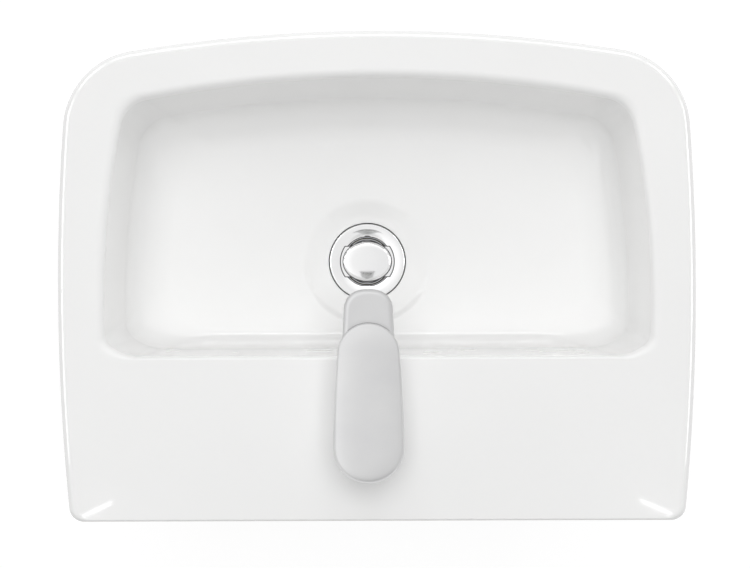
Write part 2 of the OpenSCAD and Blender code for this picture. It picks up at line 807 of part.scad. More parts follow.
module tap_casting() {
    skin(concat(
        [for (a = [90:-30:0]) spout_upper(
            spout_edge_r * (1 - cos(a)),
            spout_top_z - spout_edge_r * (1 - sin(a))
        )],
        [for (p = [[0, 14], [0.8, 8], [2, 4], [4, 1.2]]) spout_upper(p[0], outlet_z + p[1])],
        [for (i = [8:-1:0]) spout_under(i / 8)],
        [for (p = [[0, 4], [1, pad_t]])
            lobe(column_r - p[0], 0.5, column_r - p[0], column_r - p[0], 2, p[1])]
    ));
}

module tap_body() {
    way_rise = 30;
    way_depth = 42; // from the spout's top down to the lower end of the waterway
    way_reach = 14; // from the tap's axis forward to that end
    way_run = spout_reach - 1.5 - way_reach;
    color(chrome)
        at_tap()
            difference() {
                tap_casting();
                translate([0, 0, collar_z])
                    cylinder(r = seat_r, h = spout_top_z);
                translate([0, 0, chamber_z])
                    cylinder(r = chamber_r, h = spout_top_z);
                translate([0, 0, -cut])
                    cylinder(r = 19, h = cavity_top + cut);
                for (side = [-1, 1])
                    translate([side * port_x, port_y, 0]) {
                        cylinder(r = port_r, h = cavity_top + port_len);
                        cylinder(r = port_bore_r, h = chamber_z + cut);
                    }
                translate([0, stud_y, 0])
                    cylinder(r = stud_r + seat_gap, h = cavity_top + port_len);
                translate([-4, -chamber_r - 3, chamber_z + eps])
                    cube([8, 6, 14]);
                translate([0, -way_reach, spout_top_z - way_depth])
                    rotate([atan2(way_run, way_rise), 0, 0])
                        cylinder(r = waterway_r, h = norm([way_run, way_rise]));
                translate([0, aerator_y, outlet_z - 5])
                    cylinder(r = aerator_r + seat_gap, h = 15.5);
                translate([0, aerator_y, outlet_z])
                    cylinder(r = 7, h = 16);
            }
}

module base_seal() {
    color(rubber)
        at_tap()
            ring_part(column_r - 1.5, 19.5, 0, pad_t);
}

module aerator_housing() {
    color(chrome)
        at_tap()
            translate([0, aerator_y, 0])
                difference() {
                    union() {
                        translate([0, 0, outlet_z - 1])
                            cylinder(r = aerator_r, h = 9);
                        translate([0, 0, outlet_z - 3.5])
                            cylinder(r = aerator_r - 0.6, h = 3.5);
                    }
                    translate([0, 0, outlet_z - 3.5 + 1.2])
                        cylinder(r = aerator_r - 2, h = 12);
                    translate([0, 0, outlet_z - 4.5])
                        cylinder(r = aerator_r - 3.2, h = 6);
                    for (i = [0:11])
                        rotate([0, 0, 30 * i])
                            translate([aerator_r - 0.2, 0, outlet_z - 3.5 - cut])
                                cylinder(r = 0.8, h = 2.5 + cut, $fn = 24);
                }
}

module aerator_insert() {
    jets = 6;
    color(plastic)
        at_tap()
            translate([0, aerator_y, outlet_z - 2.2])
                difference() {
                    cylinder(r = aerator_r - 2 - seat_gap, h = 9);
                    for (i = [0:jets - 1])
                        rotate([0, 0, 360 * i / jets])
                            translate([5, 0, -cut])
                                cylinder(r = 1.5, h = 11, $fn = 24);
                    translate([0, 0, -cut])
                        cylinder(r = 2, h = 11, $fn = 24);
                }
}

module aerator_seal() {
    color(rubber)
        at_tap()
            translate([0, aerator_y, 0])
                ring_part(aerator_r - 0.3, 8, outlet_z + 8, outlet_z + 10.4);
}

// Heights in the cartridge, from the deck
base_top = chamber_z + 6.3;
fixed_top = base_top + 4;
moving_low = fixed_top + 0.03;
moving_top = moving_low + 4;
foot_z0 = pivot_z - stem_arm;
foot_r = 4;
coupler_top = foot_z0 + 2.4;
flange_low = coupler_top + 0.6;
flange_h0 = 3;
shoulder_z = flange_low + flange_h0 + 3;
neck_out_r = 14.1;
rotor_top = collar_z + 1;
disc_travel = stem_arm * sin(lever_lift);
disc_y = disc_travel / 2;
outlet_y = -8;
seal_z = chamber_z + 1.7;

stop_r = 16.3; // reach of the lug that stops the lever's swing
stop_half = 8; // half the angle that the lug takes up
rear_turn = 90; // direction of the cartridge's rear

module port_holes(r, low, high) {
    for (side = [-1, 1])
        translate([side * port_x, port_y, low])
            cylinder(r = r, h = high - low);
}

// A sector at the rear of the cartridge, from its axis out to a radius
module rear_sector(r, half, low, high) {
    steps = 6;
    translate([0, 0, low])
        linear_extrude(high - low)
            polygon(concat(
                [[0, 0]],
                [for (i = [0:steps]) arc([0, 0], r, rear_turn + half, rear_turn - half, i, steps)]
            ));
}

module cartridge_base() {
    color(plastic)
        at_tap()
            difference() {
                translate([0, 0, chamber_z + 0.3])
                    cylinder(r = cartridge_r, h = base_top - chamber_z - 0.3);
                port_holes(port_bore_r, chamber_z, base_top + cut);
                port_holes(port_bore_r + 1.6, chamber_z, seal_z + seat_gap);
                translate([0, outlet_y, chamber_z + 3])
                    cylinder(r = 4, h = 8);
                translate([-4, -cartridge_r - cut, chamber_z + 2.5])
                    cube([8, cartridge_r + outlet_y + cut, 2.6]);
            }
}

module port_seals() {
    color(rubber)
        at_tap()
            for (side = [-1, 1])
                translate([side * port_x, port_y, 0])
                    ring_part(port_bore_r + 1.55, port_bore_r + 0.2, chamber_z, seal_z);
}

module fixed_disc() {
    color(disc_white)
        at_tap()
            difference() {
                translate([0, 0, base_top])
                    cylinder(r = fixed_disc_r, h = fixed_top - base_top);
                port_holes(port_bore_r, base_top - cut, fixed_top + cut);
                translate([0, outlet_y, base_top - cut])
                    cylinder(r = 4, h = 6);
            }
}

module moving_disc() {
    color(disc_white)
        at_tap()
            translate([0, disc_y, moving_low])
                difference() {
                    cylinder(r = moving_disc_r, h = moving_top - moving_low);
                    translate([0, -4, -cut])
                        cylinder(r = 5.2, h = 2.2 + cut);
                }
}

module disc_coupler() {
    pocket = foot_r + 0.15;
    color("gold")
        at_tap()
            difference() {
                translate([0, disc_y, moving_top])
                    cylinder(r = moving_disc_r, h = coupler_top - moving_top);
                translate([-stem_w / 2 - 0.15, -pocket, foot_z0 - pocket])
                    cube([stem_w + 0.3, 2 * pocket, 2 * pocket]);
            }
}

module cartridge_housing() {
    inner_r = fixed_disc_r + 0.3;
    color(plastic)
        at_tap()
            difference() {
                union() {
                    translate([0, 0, base_top])
                        cylinder(r = cartridge_r, h = shoulder_z - base_top);
                    translate([0, 0, base_top])
                        cylinder(r = neck_out_r, h = collar_z - base_top);
                }
                translate([0, 0, base_top - cut])
                    cylinder(r = inner_r, h = flange_low + flange_h0 + 0.1 - base_top + cut);
                rear_sector(
                    stop_r + 0.4, lever_swing + stop_half + 1,
                    base_top - cut, flange_low + flange_h0 + 0.1
                );
                cylinder(r = rotor_r + run_gap, h = rotor_top + cut);
            }
}

module stem_rotor() {
    slot_half = (flange_h0 + pivot_z - flange_low) * sin(lever_lift) + stem_d / 2 + 0.2;
    color(plastic)
        at_tap()
            difference() {
                union() {
                    translate([0, 0, flange_low])
                        cylinder(r = fixed_disc_r, h = flange_h0);
                    translate([0, 0, flange_low])
                        cylinder(r = rotor_r, h = rotor_top - flange_low);
                    rear_sector(stop_r, stop_half, flange_low, flange_low + flange_h0);
                }
                translate([-stem_w / 2 - 0.1, -slot_half, flange_low - cut])
                    cube([stem_w + 0.2, 2 * slot_half, rotor_top]);
                translate([-rotor_r - cut, 0, pivot_z])
                    rotate([0, 90, 0])
                        cylinder(r = pin_r + seat_gap / 2, h = 2 * rotor_r + 2 * cut);
            }
}

module stem_pin() {
    len = 2 * rotor_r - 1.4;
    color(steel)
        at_tap()
            translate([-len / 2, 0, pivot_z])
                rotate([0, 90, 0])
                    cylinder(r = pin_r, h = len);
}

lever_z = spout_top_z + lever_gap;
socket_top = lever_z + 10;

module lever_stem() {
    neck_d = 2 * (foot_r - 1);
    color(steel)
        at_tap()
            difference() {
                union() {
                    translate([-stem_w / 2, -neck_d / 2, foot_z0])
                        cube([stem_w, neck_d, pivot_z - foot_z0]);
                    translate([-stem_w / 2, -stem_d / 2, pivot_z - 5])
                        cube([stem_w, stem_d, socket_top - pivot_z + 5]);
                    translate([-stem_w / 2, 0, foot_z0])
                        rotate([0, 90, 0])
                            cylinder(r = foot_r, h = stem_w);
                }
                translate([-stem_w, 0, pivot_z])
                    rotate([0, 90, 0])
                        cylinder(r = pin_r + run_gap, h = 2 * stem_w);
            }
}

module cartridge_nut() {
    notches = 4;
    color(brass)
        at_tap()
            difference() {
                ring_part(chamber_r - seat_gap, neck_out_r + 0.2, shoulder_z, collar_z - 2);
                for (i = [0:notches - 1])
                    rotate([0, 0, 360 * i / notches])
                        translate([neck_out_r + 2, -1.5, collar_z - 5])
                            cube([5, 3, 6]);
            }
}

module cartridge_cap() {
    t = 1.6;
    hole_r = 12.9;
    edge_h = 1.2;
    dome_r = 50;
    dome_z = collar_z + edge_h - sqrt(dome_r * dome_r - cap_r * cap_r);
    steps = 10;
    radii = [for (i = [0:steps]) mix(cap_r, hole_r, i / steps)];
    color(chrome)
        at_tap()
            rotate_extrude()
                polygon(concat(
                    [[cap_r, collar_z]],
                    [for (r = radii) [r, dome_z + sqrt(dome_r * dome_r - r * r)]],
                    [for (i = [steps:-1:1]) let (r = min(radii[i], cap_r - t))
                        [r, max(collar_z, dome_z - t + sqrt(dome_r * dome_r - r * r))]],
                    [[cap_r - t, collar_z]]
                ));
}

// The lever's outline drawn in by a distance, with its height as a share of the local thickness
function lever_ring(inset, share, crown) =
    let (whole = lever_rear_r + lever_len + lever_front_r)
    [for (p = both_halves(half_lobe(
        lever_rear_r - inset, lever_len, lever_front_r - inset, lever_front_r - inset, 2, 3,
        lever_rear_r * 0.024
    ), 0))
        let (thick = mix(lever_rear_h, lever_front_h, (lever_rear_r - p.y) / whole))
        [p.x, p.y, lever_z + crown + share * thick]];

module lever_handle() {
    socket_gap = 0.05;
    socket_w = stem_w + 2 * socket_gap;
    socket_d = stem_d + 2 * socket_gap;
    screw_z = lever_z + 5.5;
    color(chrome)
        at_tap()
            difference() {
                skin([
                    lever_ring(24, 1, 1.9), lever_ring(17, 1, 1.65), lever_ring(12, 1, 1.2),
                    lever_ring(7.5, 1, 0.5), lever_ring(3.8, 0.97, -0.1), lever_ring(1.6, 0.88, 0),
                    lever_ring(0.4, 0.74, 0),
                    lever_ring(0, 0.58, 0), lever_ring(0, 0.16, 0), lever_ring(0.4, 0.06, 0),
                    lever_ring(1.2, 0, 0)
                ]);
                translate([-socket_w / 2, -socket_d / 2, lever_z - cut])
                    cube([socket_w, socket_d, socket_top - lever_z + cut + 0.1]);
                translate([0, 0, screw_z])
                    rotate([-90, 0, 0])
                        cylinder(r = 2.5 + seat_gap, h = 20);
                translate([0, 18, screw_z])
                    rotate([-90, 0, 0])
                        cylinder(r = 3.2 + seat_gap, h = lever_rear_r);
            }
}

module lever_screw() {
    color(steel)
        at_tap()
            translate([0, stem_d / 2 + seat_gap, lever_z + 5.5])
                rotate([-90, 0, 0])
                    difference() {
                        cylinder(r = 2.5, h = 11);
                        translate([0, 0, 8])
                            cylinder(r = 1.4, h = 4, $fn = 6);
                    }
}

module screw_plug() {
    len = lever_rear_r - 23.4;
    color(chrome)
        at_tap()
            translate([0, 23, lever_z + 5.5])
                rotate([-90, 0, 0])
                    cylinder(r = 3.2, h = len);
}

module fixing_stud() {
    color(steel)
        at_tap()
            translate([0, stud_y, -rim_t - stud_free])
                cylinder(r = stud_r, h = rim_t + stud_free + cavity_top + port_len - 1);
}

module horseshoe(r, low, high) {
    difference() {
        translate([0, 0, low])
            cylinder(r = r, h = high - low);
        translate([-port_x - 5.5, port_y - 7.5, low - cut])
            cube([2 * port_x + 11, 2 * r, high - low + 2 * cut]);
        translate([0, stud_y, low - cut])
            cylinder(r = stud_r + 0.3, h = high - low + 2 * cut);
    }
}

module horseshoe_gasket() {
    color(rubber)
        at_tap()
            horseshoe(washer_r, -rim_t - pad_t, -rim_t);
}

module horseshoe_washer() {
    color(steel)
        at_tap()
            horseshoe(washer_r - 0.5, -rim_t - pad_t - washer_t, -rim_t - pad_t);
}

module fixing_nut() {
    nut_t = 6.5;
    color(brass)
        at_tap()
            translate([0, stud_y, -rim_t - pad_t - washer_t - nut_t])
                difference() {
                    cylinder(r = stud_r * 1.85, h = nut_t, $fn = 6);
                    translate([0, 0, -cut])
                        cylinder(r = stud_r + seat_gap, h = nut_t + 2 * cut);
                }
}

ceramic_basin();
overflow_ring();
waste_body();
flange_gasket();
lower_seal();
seal_washer();
back_nut();
plug_cap();
plug_disc();
plug_seal();
plug_stem();
click_sleeve();
click_spring();
tap_body();
base_seal();
aerator_housing();
aerator_insert();
aerator_seal();
cartridge_base();
port_seals();
cartridge_housing();
fixed_disc();
moving_disc();
disc_coupler();
stem_rotor();
stem_pin();
lever_stem();
cartridge_nut();
cartridge_cap();
lever_handle();
lever_screw();
screw_plug();
fixing_stud();
horseshoe_gasket();
horseshoe_washer();
fixing_nut();
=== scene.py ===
"""Dresses the washbasin for its render: the glazed shell, the satin tap and the waste.

The shapes' lengths are in millimetres, in the part's own frame, and are turned into metres when
a mesh is made. Those of materials, lamps and camera are in metres. The outlines and profiles are
those of the part, with finer steps.
"""
import math

import bmesh
import bpy
import numpy as np
from mathutils import Matrix, Vector


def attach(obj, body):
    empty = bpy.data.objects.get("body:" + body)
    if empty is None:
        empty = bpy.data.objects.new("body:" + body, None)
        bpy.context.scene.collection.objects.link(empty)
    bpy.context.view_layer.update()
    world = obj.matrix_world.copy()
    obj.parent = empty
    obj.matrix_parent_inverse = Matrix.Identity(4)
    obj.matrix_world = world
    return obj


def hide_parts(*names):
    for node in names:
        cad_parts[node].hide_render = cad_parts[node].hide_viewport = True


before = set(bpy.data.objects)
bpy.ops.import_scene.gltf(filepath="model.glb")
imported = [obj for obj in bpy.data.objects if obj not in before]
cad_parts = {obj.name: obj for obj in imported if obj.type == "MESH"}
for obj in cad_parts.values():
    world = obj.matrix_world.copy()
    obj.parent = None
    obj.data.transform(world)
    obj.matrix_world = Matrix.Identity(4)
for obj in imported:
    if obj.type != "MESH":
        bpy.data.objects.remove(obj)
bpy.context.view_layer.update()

MM = 0.001
CUT = 1  # how far a solid that cuts reaches past what it cuts
SEAT_GAP = 0.05  # between two pieces that are screwed or pressed together

# Basin. A DROP is measured down from the rim, a D from the wall, and an R is a radius.
BASIN_W, BASIN_D, RIM_Z = 560, 430, 60
SIDE_BOW_R, FRONT_BOW_R, WIDEST_D = 2030, 1350, 207
FRONT_CORNER_R, BACK_CORNER_R, RIM_EDGE_R, BACK_EDGE_R = 71, 13, 7, 2
DECK_D, FRONT_RIM_W, SIDE_RIM_W, BOWL_X = 141.7, 33.4, 32.2, -0.5
BOWL_SIDE_BOW_R, BOWL_FRONT_BOW_R, BOWL_WIDEST_D = 790, 1090, 194
BOWL_FRONT_CORNER_R, BOWL_BACK_CORNER_R, BOWL_BACK_LONG_R = 24, 9, 44
FLOOR_FRONT_CORNER_R, FLOOR_BACK_CORNER_R, FLOOR_BACK_LONG_R = 58, 44, 50
BACK_SPLIT = 54
BOWL_EDGE_R, WALL_SLOPE, FLOOR_FILLET_R, BACK_RUN = 8, 80, 42, 0.4
FLOOR_DROP, FLOOR_SLOPE, SEAT_DROP, DISH_R, DISH_FALL = 112, 2.5, 122.5, 59.5, 3.4
WELL_H, WELL_EDGE_R, DISH_START = 2.3, 0.7, 0.9
WALL_T, BACK_T, RIM_T, UNDER_FILLET_R = 11, 14, 13, 4
SKIRT_FRONT_H, SKIRT_BACK_H, SKIRT_DRAFT, LOWER_EDGE_R, FOOT_BEVEL = 48, 126, 5, 4, 2
RISE_FRONT, RISE_BACK = 30, 60
BOSS_DROP, BOSS_R, BOSS_FLARE_R, FIXING_SPACING, FIXING_HOLE_R = 165, 40, 9, 280, 8
OVERFLOW_DROP, OVERFLOW_R, CHANNEL_R, CHANNEL_W, CHANNEL_WALL = 36, 12, 5, 30, 7
EDGE_GUARD = 0.5  # a flat strip beside each rounded edge, which keeps the deck's shading flat

# Waste and plug, from the seat of the flange
FITTING_X, WASTE_D, WASTE_HOLE_R, FLANGE_R, PLUG_GAP = 8, 228.4, 23.2, 34.4, 0.4
FLANGE_H, GASKET_T, POCKET_R, POCKET_HALF, MOUTH_R = 3.2, 1.2, 25.3, 14.5, 23
FLANGE_EDGE_W, FLANGE_EDGE_H = 1.6, 1.2
NECK_R, SEAT_BORE_R, NECK_END, TAIL_R, TAIL_BORE_R = 22.7, 21.2, -13, 20.95, 18.5
TAIL_LEN, FREE_THREAD, WINDOW_TOP, WINDOW_H, WINDOW_W = 38, 16, -15.5, 11.5, 12
HUB_TOP, HUB_H, HUB_R, SLEEVE_R, HUB_RIB_T = -31, 9, 8.5, 6.25, 3
CAP_W, CAP_D, CAP_H, PLUG_STEM_R, POST_R = 43.8, 36.3, 3.6, 4, 9
DISC_TOP, DISC_BOTTOM, SEAL_WIRE = -1.6, -6, 0.98
SHADE_LIP = 0.9  # how far the black gasket's lip shows round the flange: a dark line of painted shade in the gap there
SHADE_PLATE_T = 0.4  # the dark plate under the plug's ears, which shows round them as painted shade

# Tap and lever, from the deck
TAP_D, TAP_HOLE_R, COLUMN_R, COLUMN_TOP_R = 70, 17.5, 25.5, 26.8
SPOUT_START_Z, OUTLET_Z, SPOUT_TOP_Z, SPOUT_REACH = 20, 60, 86, 113.5
SPOUT_HALF_W, SPOUT_END_LEN, SPOUT_EDGE_R, SPOUT_DRAFT, BLUNT = 21, 20, 5, 6, 2.4
CHAMBER_R, CHAMBER_Z, COLLAR_Z, PAD_T = 18, 32.7, 74.5, 1.2
CAVITY_R, CAVITY_TOP, PORT_R, PORT_X, PORT_Y, PORT_LEN = 19, 12, 4.5, 8.5, 3.5, 12
STUD_Y, STUD_R, AERATOR_R, AERATOR_DEPTH, AERATOR_INSET = -11, 4, 12, 10.5, 4
LEVER_REAR_R, LEVER_FRONT_R, LEVER_LEN, LEVER_BOW = 30, 26.2, 78.6, 0.72
LEVER_REAR_H, LEVER_FRONT_H, LEVER_Z = 16.5, 6.5, 86.6
STEM_W, STEM_D, SOCKET_H = 8, 10, 10.1
SCREW_Z, SCREW_R, SCREW_PLUG_R, SCREW_LEN = 92.1, 2.5, 3.2, 18
SEAT_R = LEVER_REAR_R + 1.2

# Steps along each stretch of a ring
BACK_STEPS, BACK_CORNER_STEPS, SIDE_STEPS, FRONT_CORNER_STEPS, FRONT_STEPS = 24, 8, 44, 28, 36


def mix(a, b, f):
    return a + (b - a) * f


def smooth(v):
    v = np.clip(v, 0, 1)
    return v * v * (3 - 2 * v)


def arc(centre, r, start, end, steps):
    """Points from one angle to another, both ends included."""
    turn = np.radians(np.linspace(start, end, steps + 1))
    return np.array(centre) + r * np.column_stack([np.cos(turn), np.sin(turn)])


def through(points, steps):
    """A smooth curve through points of any dimension: a Catmull-Rom spline."""
    p = np.array(points, float)
    p = np.vstack([2 * p[0] - p[1], p, 2 * p[-1] - p[-2]])
    out = [p[1]]
    for a, b, c, d in zip(p, p[1:], p[2:], p[3:]):
        for t in np.linspace(0, 1, steps + 1)[1:]:
            out.append(0.5 * (2 * b + (c - a) * t + (2 * a - 5 * b + 4 * c - d) * t ** 2
                              + (3 * b - a - 3 * c + d) * t ** 3))
    return np.array(out)


# Outlines

def half_outline(half_w, back_y, front_y, wide_y, side_r, front_r, back_c, back_long, front_c):
    """Right half of a closed outline, from the middle of the back to the middle of the front.

    The back corner has a long radius beside the back edge and a short one beside the side.
    """
    s = np.array([half_w - side_r, wide_y])
    f = np.array([0, front_y + front_r])
    split = np.array([math.cos(math.radians(BACK_SPLIT)), math.sin(math.radians(BACK_SPLIT))])
    b_y = back_y - mix(back_long, back_c, split[1])
    b = np.array([s[0] + math.sqrt((side_r - back_c) ** 2 - (b_y - s[1]) ** 2), b_y])
    long = b - (back_long - back_c) * split
    gap = np.linalg.norm(f - s)
    along = (f - s) / gap
    a = ((side_r - front_c) ** 2 - (front_r - front_c) ** 2 + gap ** 2) / (2 * gap)
    h = math.sqrt((side_r - front_c) ** 2 - a * a)
    c = s + a * along + h * np.array([along[1], -along[0]])

    def turn(to, start):
        return math.degrees(math.atan2(to[1] - start[1], to[0] - start[0]))

    back_x = np.linspace(0, long[0], BACK_STEPS + 1)[:-1]
    return np.vstack([
        np.column_stack([back_x, np.full(BACK_STEPS, back_y)]),
        arc(long, back_long, 90, BACK_SPLIT, BACK_CORNER_STEPS)[:-1],
        arc(b, back_c, BACK_SPLIT, turn(b, s), BACK_CORNER_STEPS),
        arc(s, side_r, turn(b, s), turn(c, s), SIDE_STEPS)[1:-1],
        arc(c, front_c, turn(c, s), turn(c, f), FRONT_CORNER_STEPS),
        arc(f, front_r, turn(c, f), -90, FRONT_STEPS)[1:],
    ])


def both_halves(half, x=0.0):
    """The whole outline, clockwise from above."""
    left = half[-2:0:-1] * [-1, 1]
    return np.vstack([half, left]) + [x, 0]


def outline(inset, back_inset):
    """The basin's outer edge, drawn in by one length all round and by another at the wall."""
    back_r = max(2, BACK_CORNER_R - min(inset, back_inset))
    return both_halves(half_outline(
        BASIN_W / 2 - inset, -back_inset, inset - BASIN_D, -WIDEST_D,
        SIDE_BOW_R - inset, FRONT_BOW_R - inset, back_r, back_r, FRONT_CORNER_R - inset))


def bowl_outline(run, share, grow):
    """The bowl's edge, drawn in by run, with corners that go from the edge's to the floor's."""
    return both_halves(half_outline(
        BASIN_W / 2 - SIDE_RIM_W - run, -DECK_D - (run + grow) * BACK_RUN + grow,
        FRONT_RIM_W + run - BASIN_D, -BOWL_WIDEST_D, BOWL_SIDE_BOW_R - run, BOWL_FRONT_BOW_R - run,
        mix(BOWL_BACK_CORNER_R, FLOOR_BACK_CORNER_R, share) + grow,
        mix(BOWL_BACK_LONG_R, FLOOR_BACK_LONG_R, share) + grow,
        mix(BOWL_FRONT_CORNER_R, FLOOR_FRONT_CORNER_R, share) + grow), BOWL_X)


def lift(ring, drop):
    return np.column_stack([ring[:, :2], np.full(len(ring), RIM_Z) - drop])


# Meshes

def mesh_object(name, points, faces):
    """A closed mesh from points in millimetres, with its faces turned outwards."""
    mesh = bpy.data.meshes.new(name)
    places = (np.asarray(points, float) * MM).tolist()
    mesh.from_pydata(places, [], [list(map(int, face)) for face in faces])
    bm = bmesh.new()
    bm.from_mesh(mesh)
    bmesh.ops.recalc_face_normals(bm, faces=bm.faces)
    bm.to_mesh(mesh)
    bm.free()
    return place_in_scene(name, mesh)


def place_in_scene(name, data):
    item = bpy.data.objects.new(name, data)
    bpy.context.scene.collection.objects.link(item)
    return item


def skin(name, rings, loop=False):
    """A surface over a path of rings, which ends in flat caps or, as a loop, in its first ring."""
    n = len(rings[0])
    count = len(rings)
    faces = []
    for r in range(count if loop else count - 1):
        a, b = r * n, (r + 1) % count * n
        faces += [(a + i, a + (i + 1) % n, b + (i + 1) % n, b + i) for i in range(n)]
    if not loop:
        faces += [range(n), range((count - 1) * n, count * n)]
    return mesh_object(name, np.vstack(rings), faces)


def circle_ring(centre, r, z, steps=96):
    turn = np.linspace(0, 2 * np.pi, steps, endpoint=False)
    return np.column_stack([centre[0] + r * np.sin(turn), centre[1] + r * np.cos(turn),
                            np.full(steps, z)])


def cylinder(name, centre, r, low, high, steps=96):
    return skin(name, [circle_ring(centre, r, high, steps), circle_ring(centre, r, low, steps)])


def lying(name, x, z, r, y0, y1, steps=64):
    """A cylinder along Y."""
    ring = arc((x, z), r, 0, 360, steps)[:-1]
    return skin(name, [np.column_stack([ring[:, 0], np.full(steps, y), ring[:, 1]])
                       for y in (y0, y1)])


def block(name, low, high):
    (x0, y0, z0), (x1, y1, z1) = low, high
    ring = np.array([[x0, y0], [x1, y0], [x1, y1], [x0, y1]])
    return skin(name, [np.column_stack([ring, np.full(4, z)]) for z in (z1, z0)])


def turned(piece, angle, axis, pivot):
    """Turns a mesh about an axis through a point in millimetres."""
    at = Vector(pivot) * MM
    piece.data.transform(Matrix.Translation(at) @ Matrix.Rotation(math.radians(angle), 4, axis)
                         @ Matrix.Translation(-at))
    return piece


def combine(piece, tools, operation):
    """Joins or cuts a piece by other solids, which are used up."""
    for tool in tools:
        change = piece.modifiers.new(operation, "BOOLEAN")
        change.operation = operation
        change.solver = "MANIFOLD"
        change.object = tool
    apply_modifiers(piece)
    for tool in tools:
        bpy.data.meshes.remove(tool.data)


def apply_modifiers(piece):
    graph = bpy.context.evaluated_depsgraph_get()
    mesh = bpy.data.meshes.new_from_object(piece.evaluated_get(graph))
    piece.modifiers.clear()
    old = piece.data
    piece.data = mesh
    bpy.data.meshes.remove(old)


def shade(piece, angle):
    """Smooth shading that keeps flat faces flat and the edges sharper than an angle."""
    for face in piece.data.polygons:
        face.use_smooth = True
    piece.data.set_sharp_from_angle(angle=math.radians(angle))
    weighted = piece.modifiers.new("weighted", "WEIGHTED_NORMAL")
    weighted.keep_sharp = True
    apply_modifiers(piece)


# The glazed shell

WALL_ANGLE, FLOOR_ANGLE = math.radians(WALL_SLOPE), math.radians(FLOOR_SLOPE)
EDGE_RUN = BOWL_EDGE_R * math.sin(WALL_ANGLE)
EDGE_FALL = BOWL_EDGE_R * (1 - math.cos(WALL_ANGLE))
FILLET_FALL = FLOOR_FILLET_R * (math.cos(FLOOR_ANGLE) - math.cos(WALL_ANGLE))
WALL_FALL = FLOOR_DROP - EDGE_FALL - FILLET_FALL
WALL_RUN = WALL_FALL / math.tan(WALL_ANGLE)
FILLET_RUN = FLOOR_FILLET_R * (math.sin(WALL_ANGLE) - math.sin(FLOOR_ANGLE))
BOWL_RUN = EDGE_RUN + WALL_RUN + FILLET_RUN
WASTE_AT = np.array([FITTING_X, -WASTE_D])
TAP_AT = np.array([FITTING_X, -TAP_D])
DISH_DROP = SEAT_DROP - WELL_H
# The dish, as the share of the way from the flange to its edge, and the share of its depth there
# behind the waste and in front of it
DISH_PROFILE = [(0, 1, 1), (0.3, 0.93, 0.79), (0.55, 0.8, 0.42), (0.72, 0.62, 0.18),
                (0.84, 0.34, 0.06), (0.93, 0.09, 0.01), (1, 0, 0)]


def circle_to(ring, r):
    """A circle round the waste, with one point towards each point of a ring."""
    away = ring[:, :2] - WASTE_AT
    return WASTE_AT + r * away / np.linalg.norm(away, axis=1)[:, None]


def dish_edge(floor_ring):
    """The dish's edge, as low as the floor's slope brings it there, within a limit."""
    away = np.linalg.norm(floor_ring[:, :2] - WASTE_AT, axis=1)
    fall = np.minimum(DISH_FALL, (away - DISH_R) * math.tan(FLOOR_ANGLE))
    return lift(circle_to(floor_ring, DISH_R), FLOOR_DROP + fall)


def edge_profile(steps):
    """The edge between rim and bowl as (run, drop, slope)."""
    for slope in np.linspace(0, WALL_SLOPE, steps + 1):
        a = math.radians(slope)
        yield BOWL_EDGE_R * math.sin(a), BOWL_EDGE_R * (1 - math.cos(a)), slope


def fillet_profile(steps):
    """The wall's foot and the curve into the floor as (run, drop, slope)."""
    for slope in np.linspace(WALL_SLOPE, FLOOR_SLOPE, steps + 1):
        a = math.radians(slope)
        yield (EDGE_RUN + WALL_RUN + FLOOR_FILLET_R * (math.sin(WALL_ANGLE) - math.sin(a)),
               EDGE_FALL + WALL_FALL + FLOOR_FILLET_R * (math.cos(a) - math.cos(WALL_ANGLE)), slope)


def bowl_ring(run, drop, slope):
    return lift(bowl_outline(run, run / BOWL_RUN, 0), drop)


def bowl_back_ring(run, drop, slope):
    """The same ring on the bowl's hidden side, one wall's thickness away."""
    a = math.radians(slope)
    return lift(bowl_outline(run - WALL_T * math.sin(a), run / BOWL_RUN, WALL_T * math.sin(a)),
                drop + WALL_T * math.cos(a))


def skirt_ring(ring, share, up):
    """A ring on the skirt, where share is 0 at the rim's edge and 1 at the lower edge."""
    rise = smooth((ring[:, 1] + BASIN_D - RISE_FRONT) / (BASIN_D - RISE_FRONT - RISE_BACK))
    height = mix(SKIRT_FRONT_H, SKIRT_BACK_H, rise)
    return lift(ring, mix(RIM_EDGE_R, height - up, share))


def inside_rings():
    """From the waste hole's lower end over the dish, floor and walls to the rim."""
    floor_ring = bowl_ring(*list(fillet_profile(1))[-1])
    dish_ring = dish_edge(floor_ring)
    # The well is widened so that the gasket's dark lip, painted shade, shows round the flange.
    well_r = FLANGE_R + SHADE_LIP + SEAT_GAP
    rings = [lift(circle_to(floor_ring, r), drop) for r, drop in [
        (WASTE_HOLE_R, BOSS_DROP), (WASTE_HOLE_R, SEAT_DROP), (well_r, SEAT_DROP),
        (well_r, DISH_DROP + WELL_EDGE_R)]]
    for c, s in [(0.87, 0.5), (0.5, 0.87)]:
        rings.append(lift(circle_to(floor_ring, well_r + WELL_EDGE_R * (1 - c)),
                          DISH_DROP + WELL_EDGE_R * (1 - s)))
    behind = smooth(((dish_ring[:, 1] - WASTE_AT[1]) / DISH_R + 0.1) / 0.4)
    for across, back_depth, front_depth in through(DISH_PROFILE, 5)[:-1]:
        depth = mix(front_depth, back_depth, behind)
        rings.append(lift(circle_to(floor_ring, mix(well_r + DISH_START, DISH_R, across)),
                          mix(RIM_Z - dish_ring[:, 2], DISH_DROP, depth)))
    rings += [mix(dish_ring, floor_ring, t) for t in np.linspace(0, 1, 9)[:-1]]
    rings += [bowl_ring(*p) for p in reversed(list(fillet_profile(24)))]
    for t in np.linspace(0, 1, 7)[1:-1]:
        rings.append(bowl_ring(mix(EDGE_RUN + WALL_RUN, EDGE_RUN, t),
                               mix(EDGE_FALL + WALL_FALL, EDGE_FALL, t), 0))
    rings += [bowl_ring(*p) for p in reversed(list(edge_profile(10)))]
    return rings + [bowl_ring(-EDGE_GUARD, 0, 0)]


